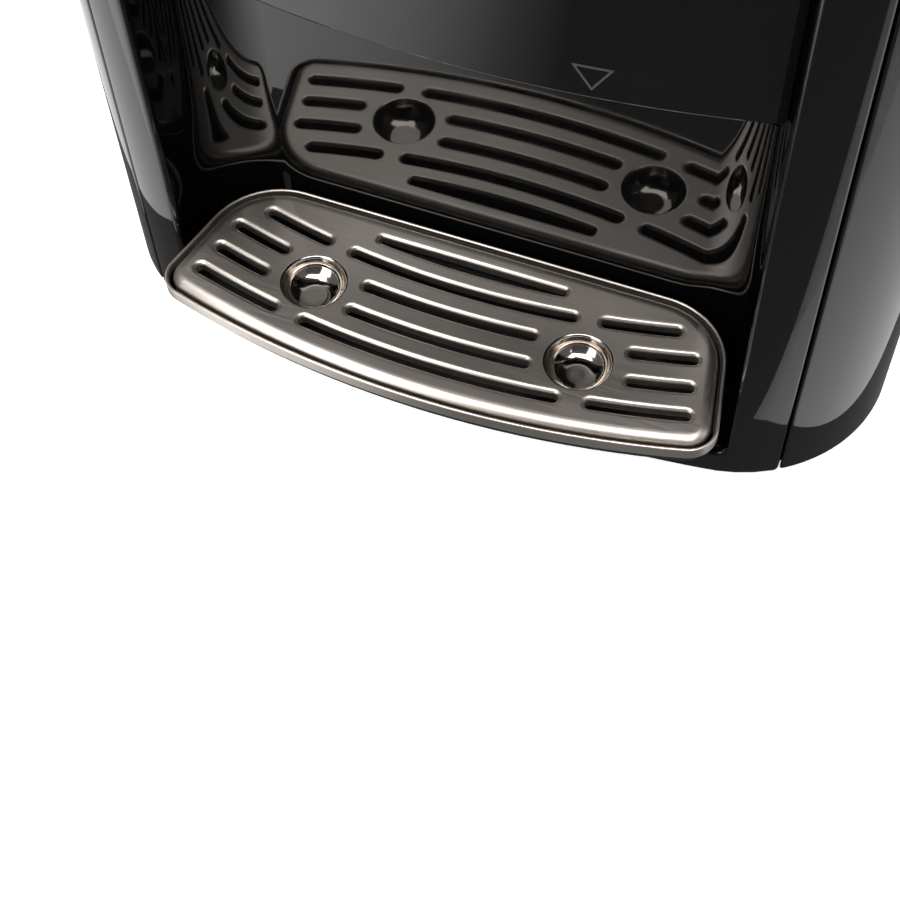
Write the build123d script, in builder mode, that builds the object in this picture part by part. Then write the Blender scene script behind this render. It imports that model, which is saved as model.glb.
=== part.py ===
from build123d import *
import os
from math import atan2, cos, degrees, radians, sin, sqrt

# Countertop water dispenser, in millimetres.
# Frame: +Z up, -Y is the front, origin on the table under the middle of the whole dispenser.
# The casing is a set of shells round a chassis plate. Water comes in at the back, is cooled and
# heated in two insulated tanks, and leaves through two nozzles over the drip tray.

os.makedirs("parts", exist_ok=True)

# ---------------------------------------------------------------- driving dimensions
# casing
body_w = 300.0
body_d = 300.0
body_h = 470.0
wall = 3.0
front_arc_r = 720.0
front_corner_r = 58.0
rear_corner_r = 12.0
skirt_gap = 3.0
pillar_w = 18.5
seam_gap = 0.4
joint_flange_w = 8.0
joint_flange_t = 2.0
fittings_out = 10.0

# base
foot_h = 8.0
foot_r = 11.0
foot_edge_r = 1.5
foot_side_inset = 32.0
foot_front_inset = 40.0
foot_rear_inset = 30.0
base_t = 3.0
vent_pitch, vent_count = 14.0, 7
vent_l, vent_w = 30.0, 5.0

# alcove
alcove_w = 210.0
alcove_depth_behind_cups = 42.0
alcove_corner_r = 25.0
alcove_h = 254.0
liner_wall = 2.5
liner_floor_t = 3.0

# drip tray
tray_overhang = 28.0
deck_z = 46.0
cup_spacing = 100.0
deck_front = 31.0
deck_rear = 36.0
deck_arc_r = 368.0
deck_side_gap = 6.7
deck_side_slope = 0.2
deck_rear_corner_r = 25.0
deck_front_corner_r = 8.0
sheet_t = 1.2
deck_flange = 6.9
deck_edge_r = 2.2
well_inset = 2.0
nose_inset = 1.0
rim_gap = 1.6
rim_t = 1.2
rim_h = 4.5
rim_drop = 1.0
pan_wall = 2.5
pan_ledge_t = 1.0
pan_lip_t = 0.8
pan_lip_drop = 2.5
pan_clearance = 0.1
nose_h = 5.0

# slots and dimples of the grille: each row is an arc round a centre far behind the tray, with a slot
# across the middle and one at each side
slot_w = 4.5
slot_lip = 0.75
slot_row_r = (357.0, 345.5, 333.5, 322.0)
slot_mid_half = (50.0, 36.0, 34.5, 45.0)
slot_side_start = (56.0, 66.0, 63.0, 50.0)
slot_side_margin = (3.8, 6.3, 8.3, 17.3)
rear_slot_half = 36.0
rear_slot_arc_r = 313.5
rear_slot_back = 28.5
dimple_r = 11.3
dimple_lip_r = 12.3
dimple_depth = 7.5
dimple_floor_r = 5.5

# convex panel in the alcove
fascia_behind_rim = 54.0
fascia_arc_r = 450.0
fascia_t = 3.0
fascia_lift = 101.0
fascia_end_gap = 0.6
boss_r = 4.0
boss_side_inset = 45.0
boss_end_inset = 30.0
mark_x = 42.0
mark_w = 13.0
mark_h = 9.5
mark_lift = 4.0
mark_line = 0.7
mark_t = 0.3

# head with the controls
head_side_gap = 0.5
head_lean = 22.0
head_chin = 8.0
head_chin_back = 6.0
head_wall = 3.0
head_set_back = 2.0
head_bar_h = 15.0
chin_edge_r = 5.0
panel_side_margin = 17.0
panel_h = 74.0
panel_t = 1.5
button_r = 12.0
button_gap = 0.3
button_proud = 2.5
button_flange = 1.5
button_catch = 1.8
button_edge_r = 1.0
button_spacing = 50.0
button_drop = 8.0
light_r = 2.0
light_rise = 22.0
board_t = 1.6
board_gap = 9.0
board_h = 62.0
post_r = 3.0
post_inset = 8.0
post_rise = 26.0
switch_cap_h = 1.9

# nozzles, valves and tubes
nozzle_r = 7.0
nozzle_bore_r = 4.5
nozzle_drop = 28.0
nozzle_top = 26.0
nozzle_barb_z = 20.0
nozzle_flange_w = 3.0
nozzle_edge_r = 1.2
barb_gap = 0.5
tube_r = 5.0
tube_bore_r = 3.4
valve_w = 24.0
valve_d = 26.0
valve_h = 28.0
valve_back = 13.0
valve_barb = 12.0
valve_coil_r = 11.0
valve_coil_h = 22.0
bracket_t = 1.5

# tanks
hot_x, hot_y, hot_z = -78.0, -15.0, 60.0
hot_tank_r, hot_tank_h = 38.0, 140.0
hot_foam = 15.0
cold_x, cold_y, cold_z = 54.0, 22.0, 180.0
cold_tank_r, cold_tank_h = 58.0, 180.0
cold_foam = 20.0
evaporator_r = 3.9
evaporator_h = 72.0
evaporator_pitch = 12.0
coil_play = 0.1
stub = 12.0
stub_bore_r = 2.4
heater_r = 3.0
heater_h = 95.0
heater_half = 9.0
suction_r = 2.6

# cooling machine
compressor_x, compressor_y = 74.0, 78.0
compressor_r, compressor_h = 48.0, 120.0
dome_r, sole_r = 26.0, 12.0
weld_share, weld_h, weld_out = 0.45, 5.0, 1.5
grommet_h = 10.0
grommet_r = 7.0
plate_t = 3.0
plate_half = 46.0
condenser_w, condenser_h = 210.0, 230.0
condenser_tube_r = 2.4
condenser_runs = 10
condenser_low_z = 185.0
condenser_gap = 12.0
wire_r = 0.9
wire_count = 15
clip_inset = 18.0
clip_w, clip_h = 6.0, 8.0
fan_x, fan_z = -70.0, 116.0
fan_size, fan_t = 92.0, 25.0
fan_bore_r = 42.0
fan_blade_gap = 1.2
fan_blades = 7
fan_hub_r = 16.0
fan_hub_t = 5.0
fan_shaft_r = 1.5
fan_shaft_gap = 0.05
blade_chord, blade_t, blade_pitch = 15.0, 1.6, 42.0
strut_w = 4.0

# back
back_t = 1.2
back_frame_w = 24.0
back_fit = 0.5
louvre_z = 305.0
louvre_l, louvre_w = 56.0, 5.0
louvre_pitch_x, louvre_pitch_z = 64.0, 16.0
louvre_columns, louvre_rows = 3, 14
fan_slot_rings = (12.0, 20.0, 28.0, 36.0)
fan_slot_w = 4.5
fan_slot_start, fan_slot_sweep = 12.0, 66.0
inlet_x, inlet_z = -100.0, 60.0
inlet_bore_r, inlet_bore_l = 3.2, 15.0
inlet_r = 8.0
thread_r = 7.0
hex_t = 5.0
hex_r = 11.0
nut_t = 4.0
nut_r = 10.0
barb_len = 11.0
barb_hold = 6.0
drain_z = 24.0
drain_hot_x, drain_cold_x = -95.0, 5.0
drain_r = 6.5
cap_r = 9.5
cap_gap = 0.3
cap_grips, cap_grip_r = 12, 0.7
rear_flange_t = 2.0
socket_x, socket_z = 95.0, 40.0
socket_w, socket_h = 27.5, 20.5
socket_depth = 19.0
socket_wall = 1.5
socket_flange_w, socket_flange_h, socket_flange_t = 50.0, 24.0, 2.5
pin_pitch, pin_drop = 7.0, 4.0
pin_w, pin_h = 2.0, 4.0
tag_w, tag_t, tag_l = 4.8, 0.8, 9.0
rocker_x = 95.0
rocker_z = (84.0, 114.0)
rocker_body_w, rocker_body_h = 13.5, 21.0
rocker_body_depth = 16.0
rocker_wall = 1.25
rocker_flange_w = 1.75
rocker_gap = 0.5
rocker_tilt = 8.0
rocker_half_h = 7.4
rocker_low, rocker_crown, rocker_waist = 3.0, 7.2, 5.4
rocker_pin_r, rocker_pin_gap = 1.5, 0.1
rocker_pin_l = 1.0
screw_r = 1.6
screw_head_r = 3.5
screw_head_h = 2.0
screw_edge_r = 1.2
screw_gap = 0.1
screw_reach = 4.0

# ---------------------------------------------------------------- derived places
seam_x = alcove_w / 2 + pillar_w
deck_half_w = alcove_w / 2 - deck_side_gap
panel_w = alcove_w - 2 * panel_side_margin
overall_d = tray_overhang + body_d + fittings_out
tray_front_y = -overall_d / 2
body_front_y = tray_front_y + tray_overhang
body_back_y = body_front_y + body_d
cup_y = tray_front_y + rim_t + rim_gap + deck_front
cup_x = cup_spacing / 2
floor_z = foot_h + base_t
tray_floor_z = floor_z + liner_floor_t
back_wall_y = cup_y + alcove_depth_behind_cups
alcove_top_z = deck_z + alcove_h
casing_top_z = body_h - head_bar_h
fascia_y = tray_front_y + fascia_behind_rim
fascia_z = deck_z + fascia_lift
head_top_z = casing_top_z - head_bar_h
head_front_y = tray_front_y + head_set_back
head_rear_y = back_wall_y + liner_wall
rim_top_z = deck_z - rim_drop
rim_bottom_z = rim_top_z - rim_h
rest_z = deck_z - deck_flange
back_out_y = body_back_y - wall
back_in_y = back_out_y - back_t
fitting_end_y = body_back_y + fittings_out
slot_centre_y = cup_y - deck_front + deck_arc_r


# ---------------------------------------------------------------- shared outlines
def body_plan(inset=0.0):
    """Outline of the casing seen from above, moved in by inset."""
    with BuildSketch(Plane.XY) as plan:
        with Locations((0, body_front_y + body_d / 2)):
            Rectangle(body_w - 2 * inset, body_d - 2 * inset)
        with Locations((0, body_front_y + front_arc_r)):
            Circle(front_arc_r - inset, mode=Mode.INTERSECT)
        fillet(plan.vertices().group_by(Axis.Y)[-1], rear_corner_r - inset)
        fillet(plan.vertices().group_by(Axis.Y)[0], front_corner_r - inset)
    return plan.sketch


def body_ring(outer_inset, inner_inset):
    """Ring between two insets of the casing outline."""
    with BuildSketch(Plane.XY) as ring:
        add(body_plan(outer_inset))
        add(body_plan(inner_inset), mode=Mode.SUBTRACT)
    return ring.sketch


def alcove_plan(grow=0.0):
    """Outline of the alcove from above, open towards the front, grown outwards by grow."""
    depth = back_wall_y - tray_front_y + grow
    with BuildSketch(Plane.XY) as plan:
        with Locations((0, tray_front_y + depth / 2)):
            Rectangle(alcove_w + 2 * grow, depth)
        fillet(plan.vertices().group_by(Axis.Y)[-1], alcove_corner_r + grow)
    return plan.sketch


def deck_plan(grow=0.0):
    """Outline of the grille plate: straight rear, flared sides, arched front."""
    rear_y = cup_y + deck_rear
    front_y = cup_y - deck_front - deck_front_corner_r
    mid_y = cup_y
    rear_half = deck_half_w - deck_side_slope * (rear_y - mid_y)
    front_half = deck_half_w + deck_side_slope * (mid_y - front_y)
    corners = ((-rear_half, rear_y), (rear_half, rear_y), (front_half, front_y), (-front_half, front_y))
    with BuildSketch(Plane.XY) as plan:
        with BuildLine():
            Polyline(*corners, close=True)
        make_face()
        with Locations((0, slot_centre_y)):
            Circle(deck_arc_r, mode=Mode.INTERSECT)
        fillet(plan.vertices().group_by(Axis.Y)[-1], deck_rear_corner_r)
        fillet(plan.vertices().group_by(Axis.Y)[0], deck_front_corner_r)
        if grow != 0.0:
            offset(amount=grow)
    return plan.sketch


def pipe_path(points, radius):
    """Straight runs joined by tangent arcs of one radius."""
    with BuildLine() as path:
        FilletPolyline(*points, radius=radius)
    return path


# ---------------------------------------------------------------- base
foot_x = body_w / 2 - foot_side_inset
foot_rows = (body_front_y + foot_front_inset, body_back_y - foot_rear_inset)
foot_places = [(x, y) for x in (-foot_x, foot_x) for y in foot_rows]

with BuildPart() as base_plate:
    with BuildSketch(Plane.XY.offset(foot_h)):
        add(body_plan(wall))
    extrude(amount=base_t)
    with BuildSketch(Plane.XY.offset(foot_h)):
        with Locations((0, body_back_y - foot_rear_inset)):
            with GridLocations(vent_pitch, 1, vent_count, 1):
                SlotOverall(vent_l, vent_w, rotation=90)
    extrude(amount=base_t, mode=Mode.SUBTRACT)
base_plate.part.label = "base_plate"
export_step(base_plate.part, "parts/base_plate.step")

with BuildPart() as rubber_feet:
    with BuildSketch(Plane.XY):
        with Locations(*foot_places):
            Circle(foot_r)
    extrude(amount=foot_h)
    fillet(rubber_feet.edges().group_by(Axis.Z)[0], foot_edge_r)
rubber_feet.part.label = "rubber_feet"
export_step(rubber_feet.part, "parts/rubber_feet.step")

# ---------------------------------------------------------------- casing shells
back_half_w = body_w / 2 - wall - back_frame_w
rear_panel_half_w = body_w / 2 - rear_corner_r - back_fit
rear_screw_x = (back_half_w + rear_panel_half_w) / 2
rear_screw_z = (40.0, 165.0, 290.0, 425.0)
lip_z = casing_top_z - joint_flange_w
rear_screw_places = [(x, z) for x in (-rear_screw_x, rear_screw_x) for z in rear_screw_z]
back_plane = Plane(origin=(0, body_back_y, 0), x_dir=(-1, 0, 0), z_dir=(0, 1, 0))

with BuildPart() as right_side_panel:
    with BuildSketch(Plane.XY.offset(skirt_gap)):
        add(body_ring(0, wall))
        with Locations((0, body_front_y)):
            Rectangle(2 * (seam_x + seam_gap), body_d, mode=Mode.SUBTRACT)
        with Locations((0, body_back_y)):
            Rectangle(2 * back_half_w, body_d, mode=Mode.SUBTRACT)
        with Locations((-body_w / 2, 0)):
            Rectangle(body_w, 2 * overall_d, mode=Mode.SUBTRACT)
    extrude(amount=casing_top_z - skirt_gap)
    with BuildSketch(back_plane):
        with Locations(*rear_screw_places):
            Circle(screw_r + screw_gap)
    extrude(amount=-wall, mode=Mode.SUBTRACT)
right_side_panel.part.label = "right_side_panel"
export_step(right_side_panel.part, "parts/right_side_panel.step")

with BuildPart() as left_side_panel:
    mirror(right_side_panel.part, about=Plane.YZ)
left_side_panel.part.label = "left_side_panel"
export_step(left_side_panel.part, "parts/left_side_panel.step")

# The front frame is one moulding: two pillars, a low lip under the tray and a bar over the head.
# A flange behind each seam backs the edge of the side panel.
flange_out_x = seam_x + joint_flange_w
flange_in_x = seam_x - joint_flange_w

with BuildPart() as front_frame:
    with BuildSketch(Plane.XY.offset(skirt_gap)):
        add(body_ring(0, wall))
        with Locations((0, body_front_y)):
            Rectangle(2 * seam_x, body_d / 2, mode=Mode.INTERSECT)
    extrude(amount=casing_top_z - skirt_gap)
    with Locations((0, body_front_y, (tray_floor_z + head_top_z) / 2)):
        Box(alcove_w, body_d / 2, head_top_z - tray_floor_z, mode=Mode.SUBTRACT)
    with BuildSketch(Plane.XY.offset(floor_z)):
        add(body_ring(wall, wall + joint_flange_t))
        with Locations((0, body_front_y)):
            Rectangle(2 * flange_out_x, body_d / 2, mode=Mode.INTERSECT)
            Rectangle(2 * flange_in_x, body_d / 2, mode=Mode.SUBTRACT)
    extrude(amount=lip_z - floor_z)
front_frame.part.label = "front_frame"
export_step(front_frame.part, "parts/front_frame.step")

cover_edge_r = 8.0
with BuildPart() as top_cover:
    with BuildSketch(Plane.XY.offset(casing_top_z)):
        add(body_plan())
    extrude(amount=body_h - casing_top_z)
    fillet(top_cover.edges().group_by(Axis.Z)[-1], cover_edge_r)
    with BuildSketch(Plane.XY.offset(casing_top_z)):
        add(body_plan(wall))
    extrude(amount=body_h - casing_top_z - wall, mode=Mode.SUBTRACT)
    with BuildSketch(Plane.XY.offset(lip_z)):
        add(body_ring(wall, wall + joint_flange_t))
    extrude(amount=joint_flange_w)
    with BuildSketch(Plane.XY.offset(casing_top_z)):
        add(body_ring(wall, wall + joint_flange_t))
    extrude(amount=joint_flange_t)
top_cover.part.label = "top_cover"
export_step(top_cover.part, "parts/top_cover.step")

# ---------------------------------------------------------------- rear panel
with BuildPart() as rear_panel:
    with BuildSketch(Plane(origin=(0, back_out_y, 0), x_dir=(-1, 0, 0), z_dir=(0, 1, 0))):
        with Locations((0, (floor_z + lip_z) / 2)):
            Rectangle(2 * rear_panel_half_w, lip_z - floor_z)
        with Locations(*rear_screw_places):
            Circle(screw_r + screw_gap, mode=Mode.SUBTRACT)
        with Locations((0, louvre_z)):
            with GridLocations(louvre_pitch_x, louvre_pitch_z, louvre_columns, louvre_rows):
                SlotOverall(louvre_l, louvre_w, mode=Mode.SUBTRACT)
        with Locations((-inlet_x, inlet_z)):
            Circle(thread_r, mode=Mode.SUBTRACT)
        with Locations((-drain_hot_x, drain_z), (-drain_cold_x, drain_z)):
            Circle(drain_r, mode=Mode.SUBTRACT)
        with Locations((-socket_x, socket_z)):
            Rectangle(socket_w, socket_h, mode=Mode.SUBTRACT)
        with Locations(*[(-rocker_x, z) for z in rocker_z]):
            Rectangle(rocker_body_w, rocker_body_h, mode=Mode.SUBTRACT)
        for ring_r in fan_slot_rings:
            for turn in (0, 90, 180, 270):
                with BuildLine(mode=Mode.PRIVATE) as slot_line:
                    CenterArc((-fan_x, fan_z), ring_r, turn + fan_slot_start, fan_slot_sweep)
                SlotArc(slot_line.wire(), fan_slot_w, mode=Mode.SUBTRACT)
    extrude(amount=-back_t)
rear_panel.part.label = "rear_panel"
export_step(rear_panel.part, "parts/rear_panel.step")

with BuildPart() as rear_screws:
    with BuildSketch(back_plane):
        with Locations(*rear_screw_places):
            Circle(screw_head_r)
    extrude(amount=screw_head_h)
    fillet(rear_screws.edges().group_by(Axis.Y)[-1], screw_edge_r)
    with BuildSketch(back_plane):
        with Locations(*rear_screw_places):
            Circle(screw_r)
    extrude(amount=-(wall + back_t + screw_reach))
rear_screws.part.label = "rear_screws"
export_step(rear_screws.part, "parts/rear_screws.step")

# ---------------------------------------------------------------- alcove
with BuildPart() as alcove_liner:
    with BuildSketch(Plane.XY.offset(floor_z)):
        add(alcove_plan(liner_wall))
        add(body_plan(wall), mode=Mode.INTERSECT)
    extrude(amount=alcove_top_z - floor_z)
    with BuildSketch(Plane.XY.offset(tray_floor_z)):
        add(alcove_plan())
    extrude(amount=alcove_top_z - tray_floor_z, mode=Mode.SUBTRACT)
alcove_liner.part.label = "alcove_liner"
export_step(alcove_liner.part, "parts/alcove_liner.step")


def arc_sheet(radius, thickness, end_gap):
    """Plan of a sheet bent to the fascia's arc, ending end_gap short of the alcove walls."""
    with BuildSketch(Plane.XY) as sheet:
        with Locations((0, fascia_y + fascia_arc_r)):
            Circle(radius)
            Circle(radius - thickness, mode=Mode.SUBTRACT)
        add(alcove_plan(-end_gap), mode=Mode.INTERSECT)
    return sheet.sketch


boss_x = alcove_w / 2 - boss_side_inset
boss_rows = (fascia_z + boss_end_inset, alcove_top_z - boss_end_inset)
boss_front_y = fascia_y + fascia_arc_r - sqrt((fascia_arc_r - fascia_t / 2) ** 2 - boss_x ** 2)
back_wall_plane = Plane(origin=(0, back_wall_y, 0), x_dir=(1, 0, 0), z_dir=(0, -1, 0))

with BuildPart() as fascia_panel:
    with BuildSketch(Plane.XY.offset(fascia_z)):
        add(arc_sheet(fascia_arc_r, fascia_t, fascia_end_gap))
    extrude(amount=alcove_top_z - fascia_z)
    with BuildSketch(back_wall_plane):
        with Locations(*[(x, z) for x in (-boss_x, boss_x) for z in boss_rows]):
            Circle(boss_r)
    extrude(amount=back_wall_y - boss_front_y)
fascia_panel.part.label = "fascia_panel"
export_step(fascia_panel.part, "parts/fascia_panel.step")

mark_top_z = fascia_z + mark_lift + mark_h
with BuildPart() as outlet_mark:
    with BuildSketch(Plane.XY.offset(fascia_z + mark_lift)):
        with Locations((0, fascia_y + fascia_arc_r)):
            Circle(fascia_arc_r + mark_t)
            Circle(fascia_arc_r, mode=Mode.SUBTRACT)
        with Locations((mark_x, fascia_y)):
            Rectangle(mark_w, 4 * mark_w, mode=Mode.INTERSECT)
    extrude(amount=mark_h)
    with BuildSketch(Plane(origin=(mark_x, fascia_y, mark_top_z), x_dir=(1, 0, 0), z_dir=(0, -1, 0))):
        with BuildLine():
            Polyline((-mark_w / 2, 0), (mark_w / 2, 0), (0, -mark_h), close=True)
        make_face()
        offset(amount=-mark_line, kind=Kind.INTERSECTION, mode=Mode.SUBTRACT)
    extrude(amount=2 * mark_w, both=True, mode=Mode.INTERSECT)
outlet_mark.part.label = "outlet_mark"
export_step(outlet_mark.part, "parts/outlet_mark.step")

# ---------------------------------------------------------------- drip tray
slot_end = slot_w / 2 + slot_lip
bowl_waist_r = dimple_r * 0.86
bowl_waist_z = -dimple_depth * 0.68
bowl_skin = (1.0, 0.7)
floor_skin = 0.4

with BuildPart() as drip_grille:
    with BuildSketch(Plane.XY.offset(rest_z)):
        add(deck_plan())
    extrude(amount=deck_flange)
    fillet(drip_grille.edges().group_by(Axis.Z)[-1], deck_edge_r)
    with BuildSketch(Plane.XY.offset(rest_z)):
        add(deck_plan(-sheet_t))
    extrude(amount=deck_flange - sheet_t, mode=Mode.SUBTRACT)
    with BuildSketch(Plane.XY.offset(rest_z)):
        with Locations((0, slot_centre_y)):
            for row, row_r in enumerate(slot_row_r):
                spans = (
                    (-slot_mid_half[row], slot_mid_half[row]),
                    (slot_side_start[row], deck_half_w - slot_side_margin[row]),
                    (slot_side_margin[row] - deck_half_w, -slot_side_start[row]),
                )
                for low_x, high_x in spans:
                    start = degrees(atan2(low_x + slot_end, row_r))
                    end = degrees(atan2(high_x - slot_end, row_r))
                    with BuildLine(mode=Mode.PRIVATE) as slot_line:
                        CenterArc((0, 0), row_r, start - 90, end - start)
                    SlotArc(slot_line.wire(), slot_w)
    extrude(amount=deck_flange, mode=Mode.SUBTRACT)
    rear_slot_dip = rear_slot_arc_r - sqrt(rear_slot_arc_r ** 2 - rear_slot_half ** 2)
    rear_slot_front_y = slot_centre_y - rear_slot_arc_r
    with BuildSketch(Plane.XY.offset(rest_z)):
        with BuildLine():
            rear_arc = ThreePointArc(
                (-rear_slot_half, rear_slot_front_y + rear_slot_dip),
                (0, rear_slot_front_y),
                (rear_slot_half, rear_slot_front_y + rear_slot_dip),
            )
            Polyline(
                rear_arc @ 1,
                (rear_slot_half, cup_y + rear_slot_back),
                (-rear_slot_half, cup_y + rear_slot_back),
                rear_arc @ 0,
            )
        make_face()
    extrude(amount=deck_flange, mode=Mode.SUBTRACT)
    with BuildSketch(Plane.XY.offset(rest_z)):
        with Locations((-cup_x, cup_y), (cup_x, cup_y)):
            Circle(dimple_r)
    extrude(amount=deck_flange, mode=Mode.SUBTRACT)
    for side in (-1, 1):
        with BuildSketch(Plane(origin=(side * cup_x, cup_y, deck_z), x_dir=(1, 0, 0), z_dir=(0, -1, 0))):
            with BuildLine():
                bowl_in = ThreePointArc(
                    (dimple_r, 0),
                    (bowl_waist_r, bowl_waist_z),
                    (dimple_floor_r, -dimple_depth + sheet_t),
                )
                floor_in = Line(bowl_in @ 1, (0, -dimple_depth + sheet_t))
                drop = Line(floor_in @ 1, (0, -dimple_depth))
                floor_out = Line(drop @ 1, (dimple_floor_r + floor_skin, -dimple_depth))
                bowl_out = ThreePointArc(
                    floor_out @ 1,
                    (bowl_waist_r + bowl_skin[0], bowl_waist_z - bowl_skin[1]),
                    (dimple_r + sheet_t, -sheet_t),
                )
                Polyline(bowl_out @ 1, (dimple_r + sheet_t, 0), bowl_in @ 0)
            make_face()
        revolve(axis=Axis((side * cup_x, cup_y, 0), (0, 0, 1)))
drip_grille.part.label = "drip_grille"
export_step(drip_grille.part, "parts/drip_grille.step")

with BuildPart() as tray_rim:
    with BuildSketch(Plane.XY.offset(rim_bottom_z)):
        add(deck_plan(rim_gap + rim_t))
        add(deck_plan(rim_gap), mode=Mode.SUBTRACT)
    extrude(amount=rim_h)
tray_rim.part.label = "tray_rim"
export_step(tray_rim.part, "parts/tray_rim.step")

# The pan has a shallow nose under the part of the grille that stands out of the body, and a deep
# well inside the body. The grille's flange rests on its ledge, and the rim fits round its lip.
pan_floor_z = tray_floor_z + pan_clearance
pan_rest_z = rest_z - pan_clearance
ledge_low_z = pan_rest_z - pan_ledge_t
well_top_z = ledge_low_z - nose_h


def well_plan(inset):
    """Outline of the deep well, behind the front face of the body."""
    with BuildSketch(Plane.XY) as well:
        add(deck_plan(-well_inset - inset))
        add(body_plan(nose_inset + inset), mode=Mode.INTERSECT)
    return well.sketch


with BuildPart() as drip_pan:
    with BuildSketch(Plane.XY.offset(ledge_low_z)):
        add(deck_plan(rim_gap))
    extrude(amount=pan_ledge_t)
    with BuildSketch(Plane.XY.offset(ledge_low_z)):
        add(deck_plan(rim_gap))
        add(deck_plan(rim_gap - pan_lip_t), mode=Mode.SUBTRACT)
    extrude(amount=rim_top_z - pan_lip_drop - ledge_low_z)
    with BuildSketch(Plane.XY.offset(well_top_z)):
        add(deck_plan(-nose_inset))
    extrude(amount=nose_h)
    with BuildSketch(Plane.XY.offset(pan_floor_z)):
        add(well_plan(0))
    extrude(amount=well_top_z - pan_floor_z)
    with BuildSketch(Plane.XY.offset(well_top_z + pan_wall)):
        add(deck_plan(-nose_inset - pan_wall))
    extrude(amount=pan_rest_z - well_top_z, mode=Mode.SUBTRACT)
    with BuildSketch(Plane.XY.offset(pan_floor_z + pan_wall)):
        add(well_plan(pan_wall))
    extrude(amount=well_top_z - pan_floor_z + pan_wall, mode=Mode.SUBTRACT)
drip_pan.part.label = "drip_pan"
export_step(drip_pan.part, "parts/drip_pan.step")

# ---------------------------------------------------------------- head and controls
head_half_w = alcove_w / 2 - head_side_gap
head_face_h = head_top_z - head_side_gap - alcove_top_z - head_chin
lean = atan2(head_lean, head_face_h)
face_mid = (0, head_front_y + head_lean / 2, alcove_top_z + head_chin + head_face_h / 2)
face_plane = Plane(origin=face_mid, x_dir=(1, 0, 0), z_dir=(0, -cos(lean), sin(lean)))
button_places = ((-button_spacing, -button_drop), (0, -button_drop), (button_spacing, -button_drop))
light_places = ((-button_spacing, light_rise), (0, light_rise), (button_spacing, light_rise))
post_x = panel_w / 2 - post_inset
post_places = [(x, rise) for x in (-post_x, post_x) for rise in (-post_rise, post_rise)]
board_float = 0.4
button_seat = head_wall + button_gap
side_plane = Plane(origin=(0, 0, 0), x_dir=(0, 1, 0), z_dir=(1, 0, 0))


def head_profile(inset, rear_y):
    """Side profile of the head at its left end: flat floor, small chin, face that leans back."""
    low = alcove_top_z + inset
    high = head_top_z - head_side_gap - inset
    with BuildSketch(side_plane.offset(inset - head_half_w)) as profile:
        with BuildLine():
            Polyline(
                (rear_y, low),
                (head_front_y + head_chin_back + inset, low),
                (head_front_y + inset, alcove_top_z + head_chin),
                (head_front_y + head_lean + inset, high),
                (rear_y, high),
                close=True,
            )
        make_face()
    return profile.sketch


with BuildPart() as head_shell:
    extrude(head_profile(0, head_rear_y), amount=2 * head_half_w, dir=(1, 0, 0))
    chin_edges = head_shell.edges().filter_by(Axis.X).group_by(Axis.Y)[0]
    fillet(chin_edges, chin_edge_r)
    with BuildSketch(Plane.XY.offset(alcove_top_z)):
        add(alcove_plan(liner_wall))
        add(body_plan(wall + joint_flange_t), mode=Mode.INTERSECT)
    extrude(amount=head_wall)
    inner_w = 2 * (head_half_w - head_wall)
    extrude(head_profile(head_wall, head_rear_y + 1), amount=inner_w, dir=(1, 0, 0), mode=Mode.SUBTRACT)
    with BuildSketch(face_plane):
        Rectangle(panel_w, panel_h)
    extrude(amount=-panel_t, mode=Mode.SUBTRACT)
    with BuildSketch(face_plane):
        with Locations(*button_places):
            Circle(button_r + button_gap)
        with Locations(*light_places):
            Circle(light_r)
    extrude(amount=-2 * head_wall, mode=Mode.SUBTRACT)
    with BuildSketch(face_plane.offset(-panel_t)):
        with Locations(*post_places):
            Circle(post_r)
    extrude(amount=panel_t - board_gap)
    with BuildSketch(Plane.XY.offset(alcove_top_z)):
        with Locations((-cup_x, cup_y), (cup_x, cup_y)):
            Circle(nozzle_r)
    extrude(amount=head_wall, mode=Mode.SUBTRACT)
head_shell.part.label = "head_shell"
export_step(head_shell.part, "parts/head_shell.step")

with BuildPart() as control_panel:
    with BuildSketch(face_plane):
        Rectangle(panel_w, panel_h)
        with Locations(*button_places):
            Circle(button_r + button_gap, mode=Mode.SUBTRACT)
        with Locations(*light_places):
            Circle(light_r, mode=Mode.SUBTRACT)
    extrude(amount=-panel_t)
control_panel.part.label = "control_panel"
export_step(control_panel.part, "parts/control_panel.step")

with BuildPart() as status_lights:
    with BuildSketch(face_plane):
        with Locations(*light_places):
            Circle(light_r)
    extrude(amount=board_float - board_gap)
status_lights.part.label = "status_lights"
export_step(status_lights.part, "parts/status_lights.step")

for button_name, place in zip(("hot_button", "child_lock_button", "cold_button"), button_places):
    with BuildPart() as button:
        with BuildSketch(face_plane.offset(button_proud)):
            with Locations(place):
                Circle(button_r)
        extrude(amount=-(button_proud + button_seat))
        fillet(button.edges().sort_by(Axis.Y)[0], button_edge_r)
        with BuildSketch(face_plane.offset(-button_seat)):
            with Locations(place):
                Circle(button_r + button_catch)
        extrude(amount=-button_flange)
    button.part.label = button_name
    export_step(button.part, f"parts/{button_name}.step")

tact_w = 6.0
chip_w, chip_t = 14.0, 3.0
chip_places = ((-30, 8), (34, 6))
plug_w, plug_h = 30.0, 6.0

with BuildPart() as control_board:
    with BuildSketch(face_plane.offset(-board_gap)):
        Rectangle(panel_w, board_h)
    extrude(amount=-board_t)
    with BuildSketch(face_plane.offset(-board_gap)):
        with Locations(*button_places):
            Rectangle(tact_w, tact_w)
    extrude(amount=switch_cap_h)
    with BuildSketch(face_plane.offset(-board_gap - board_t)):
        with Locations(*chip_places):
            Rectangle(chip_w, chip_w)
        with Locations((0, 3 - board_h / 2 + plug_h)):
            Rectangle(plug_w, plug_h)
    extrude(amount=-chip_t)
control_board.part.label = "control_board"
export_step(control_board.part, "parts/control_board.step")

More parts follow.
